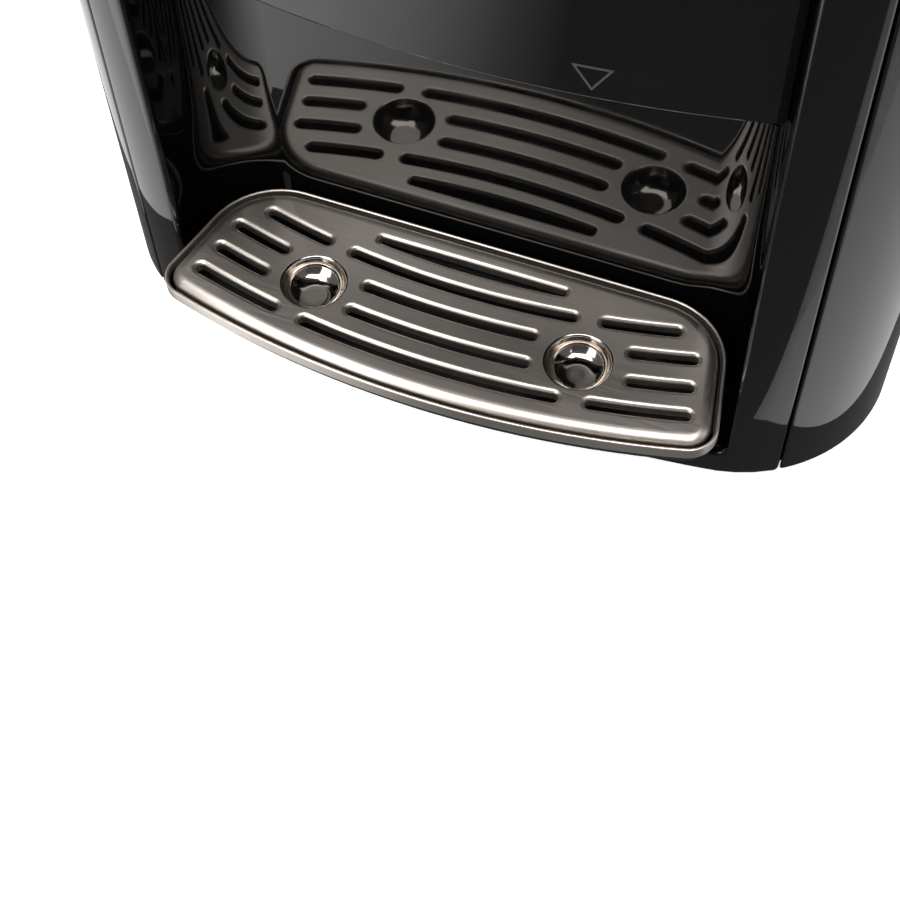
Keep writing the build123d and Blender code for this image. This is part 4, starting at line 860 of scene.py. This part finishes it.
# ------------------------------------------------------------------ alcove
@dataclass
class Alcove:
    """The recess for cups: a moulded liner and, high up in it, a bowed panel."""

    casing: Casing
    corner_r: float = 25.0
    wall: float = 2.5
    floor_t: float = 3.0
    panel_r: float = 450.0
    panel_t: float = 3.0
    panel_gap: float = 0.6
    boss_r: float = 4.0
    boss_x: float = 60.0
    boss_inset: float = 30.0
    clear: float = 0.05
    crisp_edge: float = 0.1
    edge: float = 0.3
    rim_edge: float = 0.4
    half: float = field(init=False)
    floor_z: float = field(init=False)
    top_z: float = field(init=False)
    back_y: float = field(init=False)
    panel_z: float = field(init=False)
    panel_y: float = field(init=False)

    def __post_init__(self) -> None:
        """Takes the alcove's width from the casing's opening and its place from the frame."""
        self.half = self.casing.opening_half
        low, high = low_high("alcove_liner")
        self.floor_z, self.top_z, self.back_y = low[2], high[2], high[1] - self.wall
        low, high = low_high("fascia_panel")
        self.panel_z, self.panel_y = low[2], low[1]

    def u_path(self, grow_by: float) -> Array:
        """The alcove's sides and back, open to the front, with a quarter arc at each rear corner.

        Args:
            grow_by: How far outside the alcove's inner face it runs.

        Returns:
            The open line, from the front right to the front left.
        """
        x, y, r = self.half - self.corner_r, self.back_y - self.corner_r, self.corner_r + grow_by
        outer, front = self.half + grow_by, self.front(np.array([self.half]))[0]
        return chain((outer, front), arc((x, y), r, 0, 90, 16), arc((-x, y), r, 90, 180, 16),
                     (-outer, front))

    def front(self, x: Array) -> Array:
        """Depth of the liner's front edge at each x, one gap behind the front frame."""
        return self.casing.face(x)[0] + self.casing.wall + self.panel_gap

    def liner(self) -> bpy.types.Object:
        """Liner: a wall round three sides, standing on a floor that follows the casing's front.

        Returns:
            The piece.
        """
        skin = Skin()
        outside = self.u_path(self.wall)
        band = np.concatenate([outside, self.u_path(0)[::-1]])
        deck_z = self.floor_z + self.floor_t
        prism(skin, band, deck_z, self.top_z, self.crisp_edge, self.rim_edge)
        x = np.linspace(-self.half - self.wall, self.half + self.wall, 30)
        front = np.stack([x, self.front(x)], axis=1)[1:-1]
        deck = np.concatenate([outside, front])
        prism(skin, deck, self.floor_z, deck_z, self.edge, self.crisp_edge)
        return skin.build("alcove_liner_shell")

    def panel(self) -> bpy.types.Object:
        """Bowed panel: a band between two arcs about one centre, up to the liner's corners.

        Four round bosses, drawn back from the middle of the band, hold it off the back wall.

        Returns:
            The piece.
        """
        centre = (0.0, self.panel_y + self.panel_r)
        corner = (self.half - self.corner_r, self.back_y - self.corner_r)
        stretches = []
        for radius in (self.panel_r, self.panel_r - self.panel_t):
            end = self.panel_end(centre, radius, corner)
            angle = math.degrees(math.atan2(end[1] - centre[1], end[0]))
            stretches.append(arc(centre, radius, -180 - angle, angle, 60))
        band = soften(np.concatenate([stretches[0], stretches[1][::-1]]), self.rim_edge, 3)
        skin = Skin()
        prism(skin, band, self.panel_z, self.top_z, self.panel_t / 2 - self.clear, self.edge)
        for x in (-self.boss_x, self.boss_x):
            for z in (self.panel_z + self.boss_inset, self.top_z - self.boss_inset):
                start = centre[1] - math.sqrt((self.panel_r - self.panel_t / 2) ** 2 - x**2)
                prism(skin, circle((x, z), self.boss_r, 24), start, self.back_y - self.clear,
                      self.crisp_edge, self.edge, Lay.BACK)
        return skin.build("fascia_shell")

    def panel_end(self, centre: tuple[float, float], radius: float, corner: tuple[float, float]) -> Array:
        """End of one of the panel's arcs on the liner's corner, kept off it by a gap."""
        return crossing(centre, radius, corner, self.corner_r - self.panel_gap)

    def build(self) -> None:
        """Builds and dresses the liner and the panel."""
        finish_piece(self.liner(), [Look.GLOSS], "body", "alcove_liner")
        finish_piece(self.panel(), [Look.GLOSS], "body", "fascia_panel")


# ------------------------------------------------------------------ drip tray
@dataclass
class Grille:
    """Pressed steel plate of the drip tray, with rolled slots and two polished dimples."""

    front: float = 31.0
    rear: float = 36.0
    arc_r: float = 368.0
    half: float = 98.3
    slope: float = 0.2
    rear_r: float = 25.0
    front_r: float = 8.0
    corner_lead: float = 14.0
    edge_reach: float = 4.0
    edge_drop: float = 2.8
    skirt: float = 6.9
    sheet: float = 0.6
    cup_spacing: float = 100.0
    slot_w: float = 3.9
    lip_r: float = 1.5
    lip_drop: float = 2.6
    flat_rim: float = 0.25
    slot_r: tuple[float, ...] = (357.0, 345.5, 333.5, 322.0)
    slot_mid: tuple[float, ...] = (50.0, 36.0, 34.5, 45.0)
    slot_start: tuple[float, ...] = (56.0, 66.0, 63.0, 50.0)
    slot_margin: tuple[float, ...] = (3.8, 6.3, 8.3, 17.3)
    back_slot_half: float = 36.0
    back_slot_r: float = 313.5
    back_slot_y: float = 28.5
    back_slot_corner: float = 0.9
    back_slot_steps: int = 24
    dimple_r: float = 11.3
    dimple_lip: float = 1.0
    dimple_floor: float = 4.0
    dimple_depth: float = 7.5
    dimple_steps: int = 96
    cup_y: float = field(init=False)
    top_z: float = field(init=False)
    arc_y: float = field(init=False)

    def __post_init__(self) -> None:
        """Reads the plate's place from the frame."""
        low, high = low_high("drip_grille")
        self.cup_y = low[1] + self.front
        self.top_z = high[2]
        self.arc_y = self.cup_y - self.front + self.arc_r

    def plan(self) -> Array:
        """Outline from above: straight rear, flared sides, front arc, each corner rounded.

        The arc's own points stop corner_lead before the front corners, to leave room for the rounding.
        A side crosses the front arc where half + slope * (cup_y - y) squared plus (arc_y - y) squared is
        arc_r squared. That quadratic in t = cup_y - y is solved for its forward root.

        Returns:
            The outline, counter-clockwise.
        """
        rear_half = self.half - self.slope * self.rear
        gap = self.arc_y - self.cup_y
        a, b = self.slope**2 + 1, 2 * (self.half * self.slope + gap)
        c = self.half**2 + gap**2 - self.arc_r**2
        forward = (-b + math.sqrt(b * b - 4 * a * c)) / (2 * a)
        x, y = self.half + self.slope * forward, self.cup_y - forward
        edge = math.atan2(y - self.arc_y, x) - self.corner_lead / self.arc_r
        front = arc((0, self.arc_y), self.arc_r, -180 - math.degrees(edge), math.degrees(edge), 48)
        corners = np.concatenate([[(rear_half, self.cup_y + self.rear), (-rear_half, self.cup_y + self.rear),
                                   (-x, y)], front, [(x, y)]])
        radii = np.zeros(len(corners))
        radii[:2], radii[2], radii[-1] = self.rear_r, self.front_r, self.front_r
        return soften(corners, radii, 12)

    def slot(self, row: int, low_x: float, high_x: float) -> Array:
        """One slot: a band bent to its row's arc, closed by a half circle at each end.

        Args:
            row: Which row it is in, from the front.
            low_x: Where its lip starts.
            high_x: Where its lip ends.

        Returns:
            The outline of its hole, counter-clockwise.
        """
        radius, half = self.slot_r[row], self.slot_w / 2
        trim = half + self.lip_r
        centre = np.array([0, self.arc_y])
        first, last = (math.degrees(math.asin(x / radius)) - 90 for x in (low_x + trim, high_x - trim))
        steps = max(int((high_x - low_x) / 3), 6)
        start, end = (centre + radius * np.array([math.cos(math.radians(a)), math.sin(math.radians(a))])
                      for a in (first, last))
        return chain(
            arc(centre, radius + half, first, last, steps), arc(end, half, last, last + 180, 8),
            arc(centre, radius - half, last, first, steps), arc(start, half, first + 180, first + 360, 8))

    def slots(self) -> list[Array]:
        """Outlines of all the slots: three in each row, and the wide one at the back.

        Returns:
            One outline for each slot.
        """
        out = []
        for row, (mid, start, margin) in enumerate(zip(self.slot_mid, self.slot_start, self.slot_margin)):
            stop = self.half - margin
            out += [self.slot(row, *span) for span in ((-mid, mid), (start, stop), (-stop, -start))]
        half, y = self.back_slot_half, self.cup_y + self.back_slot_y
        lead = math.degrees(math.asin(half / self.back_slot_r))
        front = arc((0, self.arc_y), self.back_slot_r, -90 - lead, -90 + lead, self.back_slot_steps)
        corners = np.concatenate([front, [(half, y), (-half, y)]])
        radii = np.full(len(corners), self.back_slot_corner)
        radii[1:self.back_slot_steps] = 0
        out.append(soften(corners, radii, 5))
        return out

    def piece(self) -> bpy.types.Object:
        """The plate: a flat face with holes, from whose rims quarter-round lips turn down.

        The outer edge is a quarter ellipse, edge_reach wide and edge_drop high, above an upright skirt.

        Returns:
            The piece, with its dimples in the second material slot.
        """
        skin = Skin()
        plan = self.plan()
        inward, down = (part[::-1] for part in quarter(1.0, 9))
        rings = [Lay.UP.place(grow(plan, -self.edge_reach * i), self.top_z - self.edge_drop * d)
                 for i, d in zip(inward, down)]
        rings.insert(0, Lay.UP.place(plan, self.top_z - self.skirt))
        face = Lay.UP.place(grow(plan, -self.edge_reach - self.flat_rim), self.top_z)
        skin.grid(np.stack([*rings, face]), wrap_v=True)
        holes = [face]
        lip_in, lip_down = (part[::-1] for part in quarter(self.lip_r))
        for slot in self.slots():
            spread = [0.0, *lip_in, self.lip_r + self.flat_rim]
            levels = [self.lip_drop + self.lip_r, *lip_down, 0.0]
            lip = [Lay.UP.place(grow(slot, s), self.top_z - d) for s, d in zip(spread, levels)]
            skin.grid(np.stack(lip), wrap_v=True)
            holes.append(lip[-1])
        for side in (-1, 1):
            centre = (side * self.cup_spacing / 2, self.cup_y)
            skin.grid(self.bowl(centre), wrap_v=True, slot=1)
            edge = self.dimple_r + self.dimple_lip
            rim, lip = (Lay.UP.place(circle(centre, radius, self.dimple_steps), self.top_z)
                        for radius in (edge + self.flat_rim, edge))
            skin.grid(np.stack([rim, lip]), wrap_v=True)
            holes.append(rim)
        skin.cap(holes)
        return skin.build("drip_grille_plate", wall=self.sheet, sharp=60)

    def bowl(self, centre: Sequence[float]) -> Array:
        """Dimple: a rolled lip, a wall that follows a quarter ellipse, and a flat floor.

        Args:
            centre: Where its middle is, from above.

        Returns:
            Array of rings of points, from the lip to the middle of the floor.
        """
        lip_in, lip_down = quarter(self.dimple_lip, 8)
        angle = np.linspace(0, math.pi / 2, 14)[1:]
        reach, fall = self.dimple_r - self.dimple_floor, self.dimple_depth - self.dimple_lip
        radius = np.concatenate([self.dimple_r + lip_in, self.dimple_floor + reach * np.cos(angle),
                                 [self.dimple_floor * 0.5, 0.0]])
        drop = np.concatenate([lip_down, self.dimple_lip + fall * np.sin(angle), [self.dimple_depth] * 2])
        flat = np.asarray(centre) + radius[:, None, None] * circle((0, 0), 1.0, self.dimple_steps)
        return Lay.UP.place(flat, (self.top_z - drop)[:, None])

    def build(self) -> None:
        """Builds and dresses the plate."""
        finish_piece(self.piece(), [Look.STEEL, Look.DRAWN], "grille", "drip_grille")


@dataclass
class TrayRim:
    """Thin steel frame that stands round the grille."""

    grille: Grille
    gap: float = 1.6
    thickness: float = 1.2

    def build(self) -> None:
        """Carries a profile with a full-round top along the grille's outline."""
        low, high = low_high("tray_rim")
        r = self.thickness / 2
        middle = self.gap + r
        angle = np.linspace(0, math.pi, 13)
        offsets = np.concatenate([middle + r * np.cos(angle), [middle - r, middle + r]])
        heights = np.concatenate([high[2] - r + r * np.sin(angle), [low[2], low[2]]])
        plan = self.grille.plan()
        skin = Skin()
        skin.grid(np.stack([Lay.UP.place(grow(plan, o), z) for o, z in zip(offsets, heights)]),
                  wrap_u=True, wrap_v=True)
        finish_piece(skin.build("tray_rim_frame", sharp=60), [Look.STEEL], "tray", "tray_rim")


# ------------------------------------------------------------------ pieces taken over from CAD
@dataclass
class SoftEdged:
    """A piece whose CAD shape is right, copied, merged and given moulded edges."""

    node: str
    look: Look
    body: str
    slot: str
    radius: float = 0.6
    segments: int = 3
    crease: float = 35.0
    flat: float = 0.4

    def build(self) -> None:
        """Copies the node's mesh, joins faces within flat degrees, and bevels edges past crease degrees."""
        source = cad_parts[self.node]
        mesh = bpy.data.meshes.new(self.node + "_moulded")
        work = bmesh.new()
        work.from_mesh(source.data)
        bmesh.ops.remove_doubles(work, verts=work.verts, dist=WELD * MM)
        bmesh.ops.dissolve_limit(work, angle_limit=math.radians(self.flat), verts=work.verts,
                                 edges=work.edges)
        work.to_mesh(mesh)
        work.free()
        mesh.materials.clear()
        mesh.shade_smooth()
        mesh.set_sharp_from_angle(angle=math.radians(self.crease))
        piece = bpy.data.objects.new(mesh.name, mesh)
        bpy.context.scene.collection.objects.link(piece)
        bevel = piece.modifiers.new("edges", "BEVEL")
        bevel.width, bevel.segments = self.radius * MM, self.segments
        bevel.angle_limit = math.radians(self.crease)
        bevel.use_clamp_overlap = True
        bevel.harden_normals = True
        finish_piece(piece, [self.look], self.body, self.node)


def dress_frame() -> None:
    """Gives every CAD node that stays its finish."""
    for look, names in CAD_LOOKS.items():
        for name in names:
            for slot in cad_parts[name].material_slots:
                slot.material = look.material
            log.info("%s: %s", name, look.value.name)


# ------------------------------------------------------------------ studio
@dataclass(frozen=True)
class Lamp:
    """Rectangular soft light, width by height, that shines from place towards aim."""

    name: str
    place: tuple[float, float, float]
    aim: tuple[float, float, float]
    width: float
    height: float
    radiance: float

    def build(self) -> None:
        """Hangs the lamp; its power is radiance times pi times its area."""
        data = bpy.data.lights.new(self.name, "AREA")
        data.shape, data.size, data.size_y = "RECTANGLE", self.width * MM, self.height * MM
        data.energy = self.radiance * math.pi * self.width * self.height * MM**2
        lamp = bpy.data.objects.new(self.name, data)
        lamp.location = Vector(self.place) * MM
        lamp.rotation_euler = (Vector(self.aim) - Vector(self.place)).to_track_quat("-Z", "Y").to_euler()
        bpy.context.scene.collection.objects.link(lamp)


def stage(mesh: bpy.types.Mesh, material: bpy.types.Material, hidden: Sequence[str]) -> None:
    """Adds a piece of the studio.

    Args:
        mesh: Its mesh, whose name it takes.
        material: Its material.
        hidden: Kinds of ray that pass through it: camera, diffuse, glossy, transmission or shadow.
    """
    mesh.materials.append(material)
    obj = bpy.data.objects.new(mesh.name, mesh)
    bpy.context.scene.collection.objects.link(obj)
    for ray in hidden:
        setattr(obj, "visible_" + ray, False)


@dataclass(frozen=True)
class Card:
    """Reflector card that shows only in reflections: a glowing sheet of strips between pairs of points,
    which paints reflected light onto the shiny pieces.

    Each pair has a point on each long edge of the card and its own brightness, which changes evenly
    from one pair to the next. A point with no height lies just above the floor.
    """

    name: str
    pairs: tuple[tuple[Sequence[float], Sequence[float]], ...]
    glow: tuple[float, ...]
    lift: float = 2.0

    def build(self) -> None:
        """Stands the card up."""
        mesh = bpy.data.meshes.new(self.name)
        points = [Vector((*point, self.lift)[:3]) * MM for pair in self.pairs for point in pair]
        strips = [(i, i + 1, i + 3, i + 2) for i in range(0, len(points) - 2, 2)]
        mesh.from_pydata(points, [], strips)
        glow = mesh.attributes.new("glow", "FLOAT", "POINT")
        glow.data.foreach_set("value", np.repeat(self.glow, 2).astype(np.float32))
        # The card's material is a glow seen only in reflections, a painted reflection of lit floor, though
        # its name says paper.
        made, tree, _ = open_material(self.name + "_paper")
        level = add_node(tree, "ShaderNodeAttribute", {"attribute_name": "glow"})
        shine = add_node(tree, "ShaderNodeEmission", inputs={"Strength": level.outputs["Fac"]})
        add_node(tree, "ShaderNodeOutputMaterial", inputs={"Surface": shine.outputs["Emission"]})
        stage(mesh, made, ("camera", "diffuse", "shadow", "transmission"))


@dataclass
class Studio:
    """Pale floor, soft lights, glowing cards seen only in reflections that paint reflected light and shade,
    and the camera.
    """

    place: tuple[float, float, float] = (144.8, -459.3, 507.4)
    turn: float = 24.06
    tilt: float = 56.89
    roll: float = -2.72
    lens: float = 66.25
    sensor: float = 36.0
    nearest: float = 10.0
    floor_half: float = 3000.0
    floor_glow: float = 0.55
    wall_r: float = 2900.0
    wall_h: float = 3000.0
    wall_strips: int = 64
    air_glow: float = 0.15
    lamps: tuple[Lamp, ...] = (
        Lamp("front_softbox", (0, -1500, 1000), (0, -150, 150), width=2600, height=1700, radiance=2.6),
        Lamp("top_softbox", (0, -450, 2100), (0, -150, 0), width=2000, height=1600, radiance=6.5),
        Lamp("side_softbox", (1500, 300, 900), (0, 0, 200), width=700, height=900, radiance=0.8))
    # Glowing sheets seen only in reflections: painted reflections of a bright floor on the casing and tray.
    # Their near edges stay off the machine and the front card's glow drops to the right, which paints dark
    # reflected floor there. The last card is a dark sheet that paints the reflected shade of the camera.
    cards: tuple[Card, ...] = (
        Card("front_floor_card",
             tuple(((x, -1300), (x, -173)) for x in (-900, -160, -110, -75, -35, 5, 500)),
             (1.3, 1.8, 1.4, 1.0, 0.45, 0.14, 0.14)),
        Card("left_floor_card",
             (((-900, -173), (-136, -173)), ((-900, -45), (-217, -45)), ((-900, 300), (-350, 300))),
             (1.25, 1.25, 1.25)),
        Card("right_floor_card",
             (((900, -565), (126, -152)), ((900, -400), (134, -146)), ((900, -200), (143, -134)),
              ((900, 0), (160, -95)), ((900, 300), (190, -20)), ((900, 900), (230, 300))),
             (0.75, 1.05, 1.2, 1.2, 1.05, 1.0)),
        Card("shade_behind_camera",
             (((-100, -700, 60), (-100, -560, 820)), ((420, -560, 60), (420, -420, 820))),
             (0.06, 0.06)))

    def camera(self) -> None:
        """Camera turned left from +Y by turn, tilted down by tilt, and rolled about its own axis."""
        turn, tilt, roll = (math.radians(a) for a in (self.turn, self.tilt, self.roll))
        ahead = Vector((-math.sin(turn) * math.cos(tilt), math.cos(turn) * math.cos(tilt), -math.sin(tilt)))
        level = ahead.cross(Vector((0, 0, 1))).normalized()
        upright = level.cross(ahead)
        right = level * math.cos(roll) + upright * math.sin(roll)
        up = right.cross(ahead)
        data = bpy.data.cameras.new("camera")
        data.lens, data.sensor_width, data.clip_start = self.lens, self.sensor, self.nearest * MM
        camera = bpy.data.objects.new("camera", data)
        camera.matrix_world = (Matrix.Translation(Vector(self.place) * MM)
                               @ Matrix((right, up, -ahead)).transposed().to_4x4())
        bpy.context.scene.collection.objects.link(camera)
        bpy.context.scene.camera = camera

    def backdrop(self) -> None:
        """Pale paper wall round the floor: a ring of upright strips, seen by the camera alone."""
        ring = circle((0, 0), self.wall_r, self.wall_strips)
        points = np.concatenate([Lay.UP.place(ring, 0.0), Lay.UP.place(ring, self.wall_h)]) * MM
        near = np.arange(self.wall_strips)
        far = np.roll(near, -1)
        strips = np.stack([near, near + self.wall_strips, far + self.wall_strips, far], axis=1)
        mesh = bpy.data.meshes.new("backdrop")
        mesh.from_pydata(points.tolist(), [], strips.tolist())
        made, tree, place = open_material("pale_paper_backdrop")
        fibre = add_node(tree, "ShaderNodeTexNoise", inputs={"Vector": place, "Scale": 400.0})
        colour = add_node(tree, "ShaderNodeMix", {"data_type": "RGBA"}, {
            0: fibre.outputs["Fac"], 6: linear("#f1f1f1"), 7: linear("#f8f8f8")})
        shine = add_node(tree, "ShaderNodeEmission", inputs={"Color": colour.outputs[2]})
        add_node(tree, "ShaderNodeOutputMaterial", inputs={"Surface": shine.outputs["Emission"]})
        stage(mesh, made, ("glossy", "diffuse", "shadow", "transmission"))

    def floor(self) -> None:
        """Wide matt white floor, which shiny pieces see only by its cards."""
        half = self.floor_half * MM
        mesh = bpy.data.meshes.new("floor")
        mesh.from_pydata([(-half, -half, 0), (half, -half, 0), (half, half, 0), (-half, half, 0)], [],
                         [(0, 1, 2, 3)])
        made, tree, place = open_material("white_paper_floor")
        fibre = add_node(tree, "ShaderNodeTexNoise", inputs={
            "Vector": place, "Scale": 900.0, "Detail": 3.0})
        colour = add_node(tree, "ShaderNodeMix", {"data_type": "RGBA"}, {
            0: fibre.outputs["Fac"], 6: linear("#f6f6f6"), 7: linear("#ffffff")})
        close_material(tree, {
            "Base Color": colour.outputs[2], "Roughness": 0.9,
            "Emission Color": linear("#ffffff"), "Emission Strength": self.floor_glow})
        stage(mesh, made, ("glossy",))

    def build(self) -> None:
        """Sets up the whole studio."""
        scene = bpy.context.scene
        scene.view_settings.view_transform = "Standard"
        scene.world = bpy.data.worlds.new("studio")
        scene.world.use_nodes = True
        air = scene.world.node_tree.nodes["Background"]
        air.inputs["Color"].default_value = linear("#ffffff")
        air.inputs["Strength"].default_value = self.air_glow
        self.floor()
        self.backdrop()
        self.camera()
        for item in (*self.lamps, *self.cards):
            item.build()
            log.info("%s", item.name)


def main() -> None:
    """Builds the dispenser piece by piece, then the studio round it."""
    logging.basicConfig(level=logging.INFO, format="%(name)s %(message)s")
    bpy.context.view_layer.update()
    dress_frame()
    casing = Casing()
    casing.build()
    Alcove(casing).build()
    grille = Grille()
    grille.build()
    TrayRim(grille).build()
    for node, look, body, slot in (
            ("drip_pan", Look.MATT, "tray", "matte_black"),
            ("head_shell", Look.GLOSS, "body", "gloss_black"),
            ("control_panel", Look.PANEL, "body", "panel_black"),
            ("hot_button", Look.KEY_RED, "hot_key", "key_red"),
            ("child_lock_button", Look.KEY_GREY, "lock_key", "key_grey"),
            ("cold_button", Look.KEY_BLUE, "cold_key", "key_blue")):
        SoftEdged(node, look, body, slot).build()
    Studio().build()


if __name__ == "__main__":
    main()
